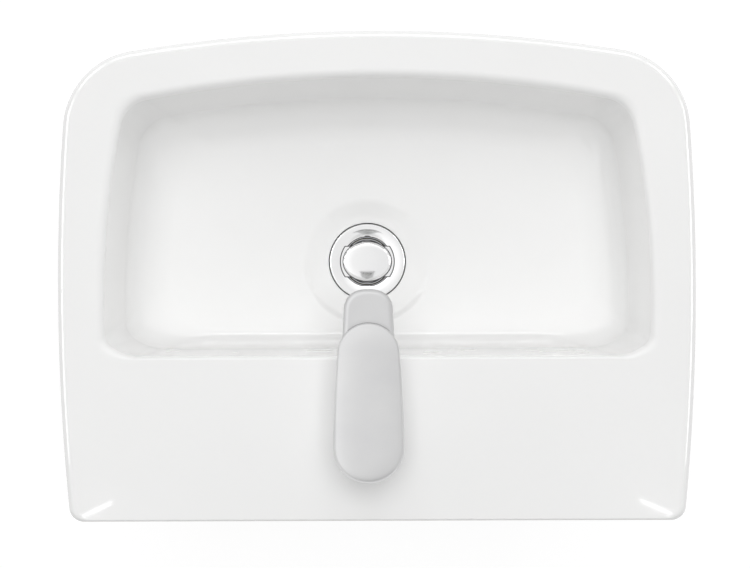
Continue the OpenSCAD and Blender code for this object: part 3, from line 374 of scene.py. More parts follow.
def outside_rings():
    """From the rim over its outer edge and down the skirt to the foot."""
    rings = [lift(outline(RIM_EDGE_R + EDGE_GUARD, BACK_EDGE_R + EDGE_GUARD), 0)]
    for turn in np.radians(np.linspace(0, 90, 11)):
        share = 1 - math.sin(turn)
        rings.append(lift(outline(RIM_EDGE_R * share, BACK_EDGE_R * share),
                          RIM_EDGE_R * (1 - math.cos(turn))))
    for t in np.linspace(0, 1, 9)[1:]:
        rings.append(skirt_ring(outline(SKIRT_DRAFT * t, 0), t, LOWER_EDGE_R * t))
    for turn in np.radians(np.linspace(0, 90, 6))[1:]:
        inset = LOWER_EDGE_R * (1 - math.cos(turn))
        rings.append(skirt_ring(outline(SKIRT_DRAFT + inset, inset), 1,
                                LOWER_EDGE_R * (1 - math.sin(turn))))
    inner = outline(SKIRT_DRAFT + WALL_T - FOOT_BEVEL, BACK_T - FOOT_BEVEL)
    return rings + [skirt_ring(inner, 1, 0)]


def under_rings():
    """From the foot up inside the skirt, round under the rim and down behind the bowl."""
    low, high = (skirt_ring(outline(SKIRT_DRAFT + WALL_T, BACK_T), 1, FOOT_BEVEL),
                 lift(outline(WALL_T, BACK_T), RIM_T + UNDER_FILLET_R))
    rings = [low] + [mix(low, high, t) for t in np.linspace(0, 1, 7)[1:]]
    for turn in np.radians([30, 60, 90]):
        inset = UNDER_FILLET_R * (1 - math.cos(turn))
        rings.append(lift(outline(WALL_T + inset, BACK_T + inset),
                          RIM_T + UNDER_FILLET_R * (1 - math.sin(turn))))
    for turn in np.radians([0, 30, 60, 90]):
        grow = WALL_T + UNDER_FILLET_R * (1 - math.sin(turn))
        rings.append(lift(bowl_outline(-grow, 0, grow),
                          RIM_T + UNDER_FILLET_R * (1 - math.cos(turn))))
    rings += [bowl_back_ring(*p) for p in fillet_profile(16)]
    under_ring = bowl_back_ring(*list(fillet_profile(1))[-1])
    for turn in np.radians(np.linspace(0, 90, 7)):
        rings.append(lift(circle_to(under_ring, BOSS_R + BOSS_FLARE_R * (1 - math.sin(turn))),
                          DISH_DROP + WALL_T + BOSS_FLARE_R * (1 - math.cos(turn))))
    return rings + [lift(circle_to(under_ring, BOSS_R), BOSS_DROP)]


OVERFLOW_Y = DECK_D + (EDGE_RUN + (OVERFLOW_DROP - EDGE_FALL) / math.tan(WALL_ANGLE)) * BACK_RUN
WALL_TILT = math.degrees(math.atan(BACK_RUN / math.tan(WALL_ANGLE)))
CHANNEL_CLEAR = CHANNEL_R + CHANNEL_WALL + 2
# The overflow channel's way down behind the bowl, as (distance from the wall, drop)
CHANNEL_ROUTE = [
    (OVERFLOW_Y - CHANNEL_CLEAR, OVERFLOW_DROP - OVERFLOW_R / 2),
    (DECK_D + (EDGE_RUN + WALL_RUN) * BACK_RUN - CHANNEL_CLEAR - 2, EDGE_FALL + WALL_FALL + 18),
    (DECK_D + BOWL_RUN * BACK_RUN - CHANNEL_CLEAR * 0.75, FLOOR_DROP + CHANNEL_CLEAR + 1),
    (WASTE_D - WASTE_HOLE_R - 2, FLOOR_DROP + WALL_T + 15),
]


def channel(r, w, beyond):
    """The overflow channel as one flat-sided duct for each stretch of its route."""
    ducts = []
    route = CHANNEL_ROUTE[:-1] + [(CHANNEL_ROUTE[-1][0] + beyond, CHANNEL_ROUTE[-1][1])]
    for (d0, drop0), (d1, drop1) in zip(route, route[1:]):
        bm = bmesh.new()
        for x in (FITTING_X - w / 2, FITTING_X + w / 2):
            for d, drop in ((d0, drop0), (d1, drop1)):
                for y, z in arc((-d, RIM_Z - drop), r, 0, 360, 48)[:-1]:
                    bm.verts.new((x * MM, y * MM, z * MM))
        hull = bmesh.ops.convex_hull(bm, input=bm.verts)
        inner = {v for v in hull["geom_interior"] if isinstance(v, bmesh.types.BMVert)}
        bmesh.ops.delete(bm, geom=list(inner), context="VERTS")
        mesh = bpy.data.meshes.new("duct")
        bm.to_mesh(mesh)
        bm.free()
        ducts.append(place_in_scene("duct", mesh))
    return ducts


def make_basin():
    shell = skin("basin_shell", inside_rings() + outside_rings() + under_rings(), loop=True)
    outer = channel(CHANNEL_R + CHANNEL_WALL, CHANNEL_W + 2 * CHANNEL_WALL, 0)
    combine(shell, outer, "UNION")
    overflow = lying("cut", FITTING_X, RIM_Z - OVERFLOW_DROP, OVERFLOW_R,
                     -OVERFLOW_Y - OVERFLOW_R, -OVERFLOW_Y + CHANNEL_CLEAR)
    cuts = channel(CHANNEL_R, CHANNEL_W, 4) + [
        turned(overflow, -WALL_TILT, "X", (FITTING_X, -OVERFLOW_Y, RIM_Z - OVERFLOW_DROP)),
        cylinder("cut", WASTE_AT, WASTE_HOLE_R, RIM_Z - BOSS_DROP - CUT,
                 RIM_Z - SEAT_DROP + CUT / 2),
        cylinder("cut", TAP_AT, TAP_HOLE_R, RIM_Z - RIM_T - CUT, RIM_Z + CUT),
    ]
    for side in (-1, 1):
        cuts.append(lying("cut", side * FIXING_SPACING / 2, 0, FIXING_HOLE_R, -BACK_T - CUT, CUT))
    combine(shell, cuts, "DIFFERENCE")
    shade(shell, 30)
    return shell


# The tap

def half_lobe(rear_r, length, half_w, end_len, power, side_points, bow):
    """Half an outline with a round rear end and a blunt front end."""
    t = np.linspace(0, 1, side_points + 2)[1:-1]
    side = np.column_stack([mix(rear_r, half_w, t) + 4 * bow * t * (1 - t), -length * t])
    a = np.radians(np.linspace(0, 90, 33))
    front = np.column_stack([half_w * np.cos(a).clip(0) ** (2 / power),
                             -length - end_len * np.sin(a) ** (2 / power)])
    return np.vstack([arc((0, 0), rear_r, 90, 0, 28), side, front])


def at_tap(ring, z):
    ring = np.asarray(ring)
    return np.column_stack([ring + TAP_AT, np.full(len(ring), RIM_Z) + z])


def lobe(rear_r, length, half_w, end_len, power, z):
    return at_tap(both_halves(half_lobe(rear_r, length, half_w, end_len, power, 16, 0)), z)


def spout_under(share):
    """The curve from the column, where share is 0, to the spout's underside."""
    length = SPOUT_REACH * (1 - math.cos(math.radians(90 * share)))
    f = length / SPOUT_REACH
    z = mix(SPOUT_START_Z, OUTLET_Z, math.sin(math.radians(90 * share)))
    rear = mix(COLUMN_R, COLUMN_TOP_R, z / COLLAR_Z)
    return lobe(rear, max(0.5, length), mix(rear, SPOUT_HALF_W - SPOUT_DRAFT, f),
                mix(rear, SPOUT_END_LEN - SPOUT_DRAFT, f), mix(2, BLUNT, f), z)


def spout_upper(inset, z):
    return lobe(COLUMN_TOP_R - min(inset, SPOUT_EDGE_R) * 0.5, SPOUT_REACH, SPOUT_HALF_W - inset,
                SPOUT_END_LEN - inset, BLUNT, z)


def make_tap():
    """Column and spout, with the chamber, the cavity under the column, its ports and the outlet."""
    rings = []
    for a in np.radians(np.linspace(90, 0, 11)):
        rings.append(spout_upper(SPOUT_EDGE_R * (1 - math.cos(a)),
                                 SPOUT_TOP_Z - SPOUT_EDGE_R * (1 - math.sin(a))))
    lower = through([[0, 14], [0.8, 8], [2, 4], [4, 1.2], [SPOUT_DRAFT, 0]], 5)[:-1]
    rings += [spout_upper(inset, OUTLET_Z + up) for inset, up in lower]
    rings += [spout_under(share) for share in np.linspace(1, 0, 33)]
    rings += [lobe(COLUMN_R - inset, 0.5, COLUMN_R - inset, COLUMN_R - inset, 2, z)
              for inset, z in [(0, 4), (0.1, 2.6), (0.4, 1.8), (1, PAD_T)]]
    casting = skin("tap_casting", rings)

    def hole(offset, r, low, high):
        return cylinder("cut", TAP_AT + offset, r, RIM_Z + low, RIM_Z + high)

    ports_top = CAVITY_TOP + PORT_LEN
    combine(casting, [
        hole([0, 0], SEAT_R, COLLAR_Z, SPOUT_TOP_Z + CUT),
        hole([0, 0], CHAMBER_R, CHAMBER_Z, COLLAR_Z + CUT),
        hole([0, 0], CAVITY_R, -CUT, CAVITY_TOP),
        hole([PORT_X, PORT_Y], PORT_R, 0, ports_top),
        hole([-PORT_X, PORT_Y], PORT_R, 0, ports_top),
        hole([0, STUD_Y], STUD_R + SEAT_GAP, 0, ports_top),
        hole([0, AERATOR_INSET - SPOUT_REACH], AERATOR_R + SEAT_GAP, OUTLET_Z - 5,
             OUTLET_Z + AERATOR_DEPTH),
    ], "DIFFERENCE")
    shade(casting, 40)
    return casting


def lever_ring(inset, share, crown):
    """A ring of the lever, where share is 0 on its underside and 1 on its top."""
    ring = both_halves(half_lobe(LEVER_REAR_R - inset, LEVER_LEN, LEVER_FRONT_R - inset,
                                 LEVER_FRONT_R - inset, 2, 24, LEVER_BOW))
    whole = LEVER_REAR_R + LEVER_LEN + LEVER_FRONT_R
    thickness = mix(LEVER_REAR_H, LEVER_FRONT_H, (LEVER_REAR_R - ring[:, 1]) / whole)
    return at_tap(ring, LEVER_Z + crown + share * thickness)


def make_lever():
    """The lever, with the socket for its stem and the hole for the screw and its plug."""
    profile = through([
        [26, 1, 1.9], [22, 1, 1.85], [17, 1, 1.65], [12, 1, 1.2], [7.5, 1, 0.5], [3.8, 0.97, -0.1],
        [1.6, 0.88, 0], [0.4, 0.74, 0], [0, 0.58, 0], [0, 0.16, 0], [0.4, 0.06, 0], [1.2, 0, 0]], 5)
    rings = [lever_ring(max(0, inset), max(0, share), crown) for inset, share, crown in profile]
    lever = skin("lever_casting", rings)
    x, y = TAP_AT
    half_w, half_d = STEM_W / 2 + SEAT_GAP, STEM_D / 2 + SEAT_GAP
    z = RIM_Z + SCREW_Z
    combine(lever, [
        block("cut", (x - half_w, y - half_d, RIM_Z + LEVER_Z - CUT),
              (x + half_w, y + half_d, RIM_Z + LEVER_Z + SOCKET_H)),
        lying("cut", x, z, SCREW_R + SEAT_GAP, y, y + SCREW_LEN + 2),
        lying("cut", x, z, SCREW_PLUG_R + SEAT_GAP, y + SCREW_LEN, y + SCREW_LEN + LEVER_REAR_R),
    ], "DIFFERENCE")
    shade(lever, 40)
    return lever


# The waste and its plug

SEAT = RIM_Z - SEAT_DROP
FLANGE_TOP = GASKET_T + FLANGE_H
POCKET_FLOOR = GASKET_T + 0.6
CAP_LOW = POCKET_FLOOR + 0.2
DOME_LOW = CAP_LOW + 1.6
WIDE = 40  # further out than anything in the waste


def at_waste(ring, z):
    return np.column_stack([np.asarray(ring) + WASTE_AT, np.full(len(ring), SEAT + z)])


def round_cut(r, low, high):
    return cylinder("cut", WASTE_AT, r, SEAT + low, SEAT + high)


def spun(name, profile):
    """A piece turned round the waste's axis from its half section, as (radius, height)."""
    return skin(name, [circle_ring(WASTE_AT, r, SEAT + z, 160) for r, z in profile], loop=True)


def waste_block(name, x, y, low, high):
    return block(name, (WASTE_AT[0] + x[0], WASTE_AT[1] + y[0], SEAT + low),
                 (WASTE_AT[0] + x[1], WASTE_AT[1] + y[1], SEAT + high))


def two_sided(name, r, half, low, high):
    """A disc cut off straight in front and behind."""
    piece = cylinder(name, WASTE_AT, r, SEAT + low, SEAT + high, 200)
    combine(piece, [waste_block("cut", (-WIDE, WIDE), y, low - CUT, high + CUT)
                    for y in ((half, WIDE), (-WIDE, -half))], "DIFFERENCE")
    return piece


def waste_section():
    """Half the waste's section: the flange's top and edge, the neck, the tail and the bore."""
    tail_end = SEAT_DROP - BOSS_DROP - TAIL_LEN
    free_top = tail_end + FREE_THREAD
    groove_r = TAIL_R - 0.6
    crown_r = FLANGE_R - FLANGE_EDGE_W
    fall = (FLANGE_TOP - POCKET_FLOOR - 0.1) / (crown_r - MOUTH_R) ** 2
    section = [(r, FLANGE_TOP - fall * (crown_r - r) ** 2)
               for r in np.linspace(MOUTH_R, crown_r, 22)]
    section += [(crown_r + FLANGE_EDGE_W * math.sin(a),
                 FLANGE_TOP - FLANGE_EDGE_H * (1 - math.cos(a)))
                for a in np.radians(np.linspace(15, 90, 8))]
    section += [(FLANGE_R, GASKET_T), (NECK_R, GASKET_T), (NECK_R, NECK_END)]
    section += [(TAIL_R, NECK_END - 1.5), (TAIL_R, free_top)]
    section += [(groove_r, free_top - 0.2), (groove_r, free_top - 0.8), (TAIL_R, free_top - 1)]
    section += [(TAIL_R, tail_end + 1), (TAIL_R - 1, tail_end), (TAIL_BORE_R, tail_end)]
    section += [(TAIL_BORE_R, NECK_END), (SEAT_BORE_R, NECK_END + 3.5), (SEAT_BORE_R, -1)]
    return section + [(21.9, 0.3), (22.2, 0.3)]


def make_waste():
    """Flange, bore, windows and threaded tail in one casting, with the hub for the plug's guide."""
    waste = spun("waste_casting", waste_section())
    pocket = two_sided("cut", POCKET_R, POCKET_HALF, POCKET_FLOOR, FLANGE_TOP + CUT)
    combine(waste, [pocket], "DIFFERENCE")
    axis = (*WASTE_AT, 0)
    combine(waste, [
        turned(waste_block("cut", (TAIL_BORE_R - 2, TAIL_BORE_R + 6), (-WINDOW_W / 2, WINDOW_W / 2),
                           WINDOW_TOP - WINDOW_H, WINDOW_TOP), turn, "Z", axis)
        for turn in (90, 180, 270, 360)], "DIFFERENCE")
    low = HUB_TOP - HUB_H
    hub = cylinder("hub", WASTE_AT, HUB_R, SEAT + low, SEAT + HUB_TOP)
    combine(hub, [
        turned(waste_block("rib", (HUB_R - 0.5, TAIL_BORE_R + 0.5), (-HUB_RIB_T / 2, HUB_RIB_T / 2),
                           low, HUB_TOP), turn, "Z", axis)
        for turn in (90, 210, 330)], "UNION")
    combine(hub, [round_cut(SLEEVE_R + SEAT_GAP, low - CUT, HUB_TOP + CUT)], "DIFFERENCE")
    combine(waste, [hub], "UNION")
    shade(waste, 30)
    return waste


def make_flange_gasket():
    """A rubber ring under the flange, with a lip that fills the gap round it. The ring is real; its
    lip reaches past the flange and shows as a dark line round it, painted shade of the gap.
    """
    bore, flange, lip = WASTE_HOLE_R + 0.6, FLANGE_R + SEAT_GAP, FLANGE_R + SHADE_LIP
    gasket = spun("gasket_ring", [
        (bore, 0), (lip, 0), (lip, 1.7), (lip - 0.2, 2), (lip - 0.6, 2), (flange, 1.7),
        (flange, GASKET_T), (bore, GASKET_T)])
    shade(gasket, 50)
    return gasket


def make_plug_disc():
    """A dark disc with its seal's groove, and fine bright ridges round its top."""
    r = SEAT_BORE_R - 0.6
    groove_r = SEAT_BORE_R - PLUG_GAP - 2 * SEAL_WIRE - SEAT_GAP
    bore = PLUG_STEM_R - 1 + SEAT_GAP
    valley = DISC_TOP - 0.6
    section = [(bore, DISC_BOTTOM), (r - 1, DISC_BOTTOM), (r, DISC_BOTTOM + 0.8),
               (groove_r, DISC_BOTTOM + 1.1), (groove_r, DISC_BOTTOM + 3.2), (r, DISC_BOTTOM + 3.4),
               (r, valley)]
    for ridge in (r, r - 1.4):
        section += [(ridge, DISC_TOP), (ridge - 0.35, DISC_TOP), (ridge - 0.4, valley),
                    (ridge - 1.35, valley)]
    disc = spun("plug_plate", section + [(bore, valley)])
    shade(disc, 30)
    wear(disc, dark_plastic)
    disc.data.materials.append(chrome)
    for face in disc.data.polygons:
        if face.center.z > (SEAT + DISC_TOP - 0.05) * MM:
            face.material_index = 1
    return disc


def oval(inset, z):
    """A ring of the plug's dome."""
    turn = np.linspace(0, 2 * np.pi, 128, endpoint=False)
    return at_waste(np.column_stack([(CAP_W / 2 - inset) * np.sin(turn),
                                     (CAP_D / 2 - inset) * np.cos(turn)]), z)


def make_plug_cap():
    """An oval dome with two ears, and a post that reaches down to the disc."""
    edge = through([[12, 1], [7, 0.93], [3.2, 0.76], [1.2, 0.52], [0.3, 0.28], [0, 0], [0, -0.35],
                    [0.5, -0.42]], 4)
    dome = [oval(CAP_D / 2 - 0.5, DOME_LOW + CAP_H * 1.02), oval(16, DOME_LOW + CAP_H * 1.015)]
    dome += [oval(max(0, inset), DOME_LOW + up * CAP_H) for inset, up in edge]
    cap = skin("plug_button", dome)
    # The ears stop short of the pockets' walls, so that the dark plate under them shows round them
    # as painted shade.
    ears = two_sided("ears", POCKET_R - 1.05, POCKET_HALF - 0.9, CAP_LOW + SHADE_PLATE_T, CAP_LOW + 1)
    post = cylinder("post", WASTE_AT, POST_R, SEAT + DISC_TOP, SEAT + CAP_LOW + 1)
    combine(cap, [ears, post], "UNION")
    combine(cap, [round_cut(PLUG_STEM_R - 1 + SEAT_GAP, DISC_TOP - CUT, CAP_LOW)], "DIFFERENCE")
    shade(cap, 35)
    return cap


def make_shade_plate():
    """A dark plate under the plug's ears, with a collar round its dome: painted shade, which shows
    as dark lines round the ears and the dome.
    """
    plate = two_sided("plug_shade_plate", POCKET_R - 0.1, POCKET_HALF - 0.1, CAP_LOW - 0.1,
                      CAP_LOW + SHADE_PLATE_T)
    combine(plate, [round_cut(POST_R + SEAT_GAP, CAP_LOW - CUT, CAP_LOW + CUT)], "DIFFERENCE")
    # The collar shows as a dark line round the dome: painted shade.
    shade_collar = skin("shade_collar", [oval(-0.8, CAP_LOW + z) for z in (1.3, 1)])
    combine(shade_collar, [skin("cut", [oval(-SEAT_GAP, CAP_LOW + z) for z in (2, 0.5)])], "DIFFERENCE")
    combine(plate, [shade_collar], "UNION")
    shade(plate, 35)
    return plate


# Materials

def node_material(name):
    material = bpy.data.materials.new(name)
    material.use_nodes = True
    shader = material.node_tree.nodes["Principled BSDF"]
    return material, material.node_tree, shader


def noise(tree, scale, detail=3.0):
    """A noise over the piece's own coordinates, in metres."""
    place = tree.nodes.new("ShaderNodeTexCoord")
    texture = tree.nodes.new("ShaderNodeTexNoise")
    texture.inputs["Scale"].default_value = scale
    texture.inputs["Detail"].default_value = detail
    tree.links.new(place.outputs["Object"], texture.inputs["Vector"])
    return texture.outputs["Fac"]


def spread(tree, value, low, high, source_low=0.3, source_high=0.7):
    """Maps a value, such as a noise, to a range, and holds it within that range."""
    span = tree.nodes.new("ShaderNodeMapRange")
    span.inputs["From Min"].default_value = source_low
    span.inputs["From Max"].default_value = source_high
    span.inputs["To Min"].default_value = low
    span.inputs["To Max"].default_value = high
    tree.links.new(value, span.inputs["Value"])
    return span.outputs["Result"]


def tint(tree, factor, colour_a, colour_b):
    blend = tree.nodes.new("ShaderNodeMix")
    blend.data_type = "RGBA"
    blend.inputs[6].default_value = (*colour_a, 1)
    blend.inputs[7].default_value = (*colour_b, 1)
    tree.links.new(factor, blend.inputs["Factor"])
    return blend.outputs[2]


def bump(tree, height, distance, strength=1.0, under=None):
    node = tree.nodes.new("ShaderNodeBump")
    node.inputs["Strength"].default_value = strength
    node.inputs["Distance"].default_value = distance
    tree.links.new(height, node.inputs["Height"])
    if under:
        tree.links.new(under, node.inputs["Normal"])
    return node.outputs["Normal"]


def compare(tree, value, limit, above=True):
    test = tree.nodes.new("ShaderNodeMath")
    test.operation = "GREATER_THAN" if above else "LESS_THAN"
    test.inputs[1].default_value = limit
    tree.links.new(value, test.inputs[0])
    return test.outputs[0]


def combine_values(tree, a, b, operation):
    """Two values joined by an operation, held between 0 and 1."""
    node = tree.nodes.new("ShaderNodeMath")
    node.operation = operation
    node.use_clamp = True
    tree.links.new(a, node.inputs[0])
    tree.links.new(b, node.inputs[1])
    return node.outputs[0]


def total(tree, value, factor, added):
    """value * factor + added, with no limit."""
    node = tree.nodes.new("ShaderNodeMath")
    node.operation = "MULTIPLY_ADD"
    node.inputs[1].default_value = factor
    tree.links.new(value, node.inputs[0])
    tree.links.new(added, node.inputs[2])
    return node.outputs[0]


def size_of(tree, value):
    node = tree.nodes.new("ShaderNodeMath")
    node.operation = "ABSOLUTE"
    tree.links.new(value, node.inputs[0])
    return node.outputs[0]


def choice(tree, factor, a, b):
    """The value a where factor is 0, and b where it is 1.

    Each is a number or a node's output.
    """
    node = tree.nodes.new("ShaderNodeMix")
    tree.links.new(factor, node.inputs["Factor"])
    for socket, value in ((node.inputs[2], a), (node.inputs[3], b)):
        if isinstance(value, (int, float)):
            socket.default_value = value
        else:
            tree.links.new(value, socket)
    return node.outputs[0]


def glaze_material():
    """White glaze with a faint waviness. The wall face and the foot's end are bare, fired clay."""
    material, tree, shader = node_material("white_glaze")
    link = tree.links.new
    place = tree.nodes.new("ShaderNodeSeparateXYZ")
    facing = tree.nodes.new("ShaderNodeSeparateXYZ")
    coords = tree.nodes.new("ShaderNodeTexCoord")
    link(coords.outputs["Object"], place.inputs[0])
    link(coords.outputs["Normal"], facing.inputs[0])
    wall_face = combine_values(tree, compare(tree, place.outputs["Y"], -0.0006),
                               compare(tree, facing.outputs["Y"], 0.9), "MULTIPLY")
    foot_end = combine_values(tree, compare(tree, place.outputs["Z"], -0.1045, False),
                              compare(tree, facing.outputs["Z"], -0.9, False), "MULTIPLY")
    bare = combine_values(tree, wall_face, foot_end, "ADD")
    glaze_colour = tint(tree, spread(tree, noise(tree, 9), 0, 1),
                        (0.925, 0.925, 0.92), (0.94, 0.94, 0.935))
    clay_colour = tint(tree, spread(tree, noise(tree, 60), 0, 1),
                       (0.70, 0.66, 0.60), (0.78, 0.74, 0.68))
    colour = tree.nodes.new("ShaderNodeMix")
    colour.data_type = "RGBA"
    link(bare, colour.inputs["Factor"])
    link(glaze_colour, colour.inputs[6])
    link(clay_colour, colour.inputs[7])
    link(colour.outputs[2], shader.inputs["Base Color"])
    link(choice(tree, bare, spread(tree, noise(tree, 25), 0.07, 0.12), 0.75),
         shader.inputs["Roughness"])
    wavy = bump(tree, noise(tree, 6, 0.0), 0.0002, 0.02)
    link(bump(tree, noise(tree, 700, 2.0), 0.00001, 0.1, wavy), shader.inputs["Normal"])
    shader.inputs["IOR"].default_value = 1.5
    shader.inputs["Coat Weight"].default_value = 0.6
    shader.inputs["Coat Roughness"].default_value = 0.02
    return material


def metal_material(name, dark, light, rough, grain, depth, painted_shade_reach=0):
    """A metal whose colour and roughness drift a little, with a fine grain.

    grain is the grains' number in a metre, and depth their depth. Near another surface, within
    the length given last, the colour darkens to near black: painted shade in the creases and
    gaps between parts.
    """
    material, tree, shader = node_material(name)
    link = tree.links.new
    shader.inputs["Metallic"].default_value = 1.0
    colour = tint(tree, spread(tree, noise(tree, 30), 0, 1), dark, light)
    # Painted shade: close to another surface an occlusion test mixes the colour towards near black.
    if painted_shade_reach:
        open_sky = tree.nodes.new("ShaderNodeAmbientOcclusion")
        open_sky.samples = 8
        open_sky.inputs["Distance"].default_value = painted_shade_reach
        shadow = tree.nodes.new("ShaderNodeMix")
        shadow.data_type = "RGBA"
        shadow.inputs[6].default_value = (0.02, 0.02, 0.02, 1)
        link(spread(tree, open_sky.outputs["AO"], 0, 1, 0.62, 0.92), shadow.inputs["Factor"])
        link(colour, shadow.inputs[7])
        colour = shadow.outputs[2]
    link(colour, shader.inputs["Base Color"])
    fine = noise(tree, grain, 2.0)
    link(spread(tree, fine, *rough), shader.inputs["Roughness"])
    link(bump(tree, fine, depth, 0.5), shader.inputs["Normal"])
    return material


def threaded(material, pitch, depth):
    """Adds the ridges of a thread to a metal, along Z."""
    tree = material.node_tree
    coords = tree.nodes.new("ShaderNodeTexCoord")
    wave = tree.nodes.new("ShaderNodeTexWave")
    wave.bands_direction = "Z"
    wave.inputs["Scale"].default_value = 0.314 / pitch
    wave.inputs["Distortion"].default_value = 0
    tree.links.new(coords.outputs["Object"], wave.inputs["Vector"])
    shader = tree.nodes["Principled BSDF"]
    grain = shader.inputs["Normal"].links[0].from_socket
    ridges = bump(tree, wave.outputs["Fac"], depth, 1.0, grain)
    tree.links.new(ridges, shader.inputs["Normal"])
    return material


def soft_material(name, dark, light, rough, grain, depth):
    """Rubber, plastic or fired ceramic: a colour that drifts a little and a fine grain."""
    material, tree, shader = node_material(name)
    link = tree.links.new
    link(tint(tree, spread(tree, noise(tree, 40), 0, 1), dark, light), shader.inputs["Base Color"])
    link(spread(tree, noise(tree, grain), *rough), shader.inputs["Roughness"])
    link(bump(tree, noise(tree, grain * 2, 2.0), depth, 0.6), shader.inputs["Normal"])
    return material


def wear(piece, material):
    piece.data.materials.clear()
    piece.data.materials.append(material)


glaze = glaze_material()
# The satin chrome carries painted shade, near black, within 1.4 mm of another surface, as in the
# line between lever and spout.
satin = metal_material("satin_chrome", (0.685, 0.685, 0.69), (0.715, 0.715, 0.715),
                       rough=(0.42, 0.48), grain=900, depth=0.000004, painted_shade_reach=0.0014)
chrome = metal_material("bright_chrome", (0.90, 0.90, 0.905), (0.93, 0.93, 0.93),
                        rough=(0.04, 0.08), grain=300, depth=0.000002)
brass = metal_material("turned_brass", (0.70, 0.52, 0.25), (0.78, 0.60, 0.32),
                       rough=(0.22, 0.36), grain=500, depth=0.00001)
steel = metal_material("plated_steel", (0.60, 0.61, 0.62), (0.70, 0.70, 0.70),
                       rough=(0.22, 0.38), grain=600, depth=0.00001)
stud_steel = threaded(metal_material("threaded_steel", (0.58, 0.58, 0.60), (0.68, 0.68, 0.69),
                                     rough=(0.25, 0.4), grain=600, depth=0.00001),
                      pitch=0.00125, depth=0.0003)
rubber = soft_material("black_rubber", (0.028, 0.028, 0.03), (0.045, 0.045, 0.047),
                       rough=(0.55, 0.75), grain=300, depth=0.00003)
plastic = soft_material("white_plastic", (0.76, 0.76, 0.74), (0.82, 0.82, 0.80),
                        rough=(0.35, 0.5), grain=250, depth=0.00001)
amber_plastic = soft_material("amber_plastic", (0.55, 0.36, 0.10), (0.64, 0.43, 0.14),
                              rough=(0.35, 0.5), grain=250, depth=0.00001)
dark_plastic = soft_material("dark_plastic", (0.05, 0.05, 0.053), (0.07, 0.07, 0.073),
                             rough=(0.3, 0.4), grain=250, depth=0.00001)
fired = soft_material("fired_disc", (0.83, 0.81, 0.76), (0.88, 0.86, 0.81),
                      rough=(0.25, 0.35), grain=500, depth=0.000004)

# The rebuilt pieces

cap, shade_plate = make_plug_cap(), make_shade_plate()
for piece, body, nodes, slot, material in [
    (make_basin(), "basin", ["ceramic_basin"], "glaze", glaze),
    (make_tap(), "basin", ["tap_body"], "satin_chrome", satin),
    (make_lever(), "lever", ["lever_handle"], "satin_chrome", satin),
    (make_waste(), "basin", ["waste_body"], "chrome", chrome),
    (make_flange_gasket(), "basin", ["flange_gasket"], "rubber", rubber),
    (make_plug_disc(), "plug", ["plug_disc"], "dark_plastic", dark_plastic),
    (cap, "plug", ["plug_cap"], "chrome", chrome),
    (shade_plate, "plug", [], "dark_plastic", dark_plastic),
]:
    if not any(piece.data.materials):
        wear(piece, material)
    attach(piece, body)
    if nodes:
        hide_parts(*nodes)

# The part's own solids that show as they are

node_materials = {
    "overflow_ring": chrome, "lower_seal": rubber, "seal_washer": plastic, "back_nut": brass,
    "plug_seal": rubber, "plug_stem": brass, "click_sleeve": plastic, "click_spring": steel,
    "base_seal": rubber, "aerator_housing": satin, "aerator_insert": plastic,
    "aerator_seal": rubber, "cartridge_base": plastic, "port_seals": rubber,
    "cartridge_housing": plastic, "fixed_disc": fired, "moving_disc": fired,
    "disc_coupler": amber_plastic, "stem_rotor": plastic, "stem_pin": steel, "lever_stem": steel,
    "cartridge_nut": brass, "cartridge_cap": satin, "lever_screw": steel, "screw_plug": satin,
    "fixing_stud": stud_steel, "horseshoe_gasket": rubber, "horseshoe_washer": steel,
    "fixing_nut": brass,
}
for name, material in node_materials.items():
    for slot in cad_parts[name].material_slots:
        slot.material = material

# Studio: a pale floor far below, a white surround and soft lamps

FLOOR_Z, FLOOR_HALF = -0.79, 9
FLOOR_GLOW = 0.8
CENTRE = Vector((0.002, -0.21, 0.03))
# The surround's light from the front and from the wall's side, what the sides add, and the light
# from above
FRONT_LIGHT, BACK_LIGHT, SIDE_LIGHT, TOP_LIGHT = 1.19, 0.3, 0.28, 0.22
# What gloss mirrors: from above, from the sides, what the picture's left adds, what the front and
# the wall's side add, and what stands at the horizon
MIRROR_TOP, MIRROR_SIDE, MIRROR_LEFT, MIRROR_FRONT, MIRROR_BACK = 0.92, 1.08, 0.26, 0.35, -0.5
MIRROR_HORIZON = 0.7


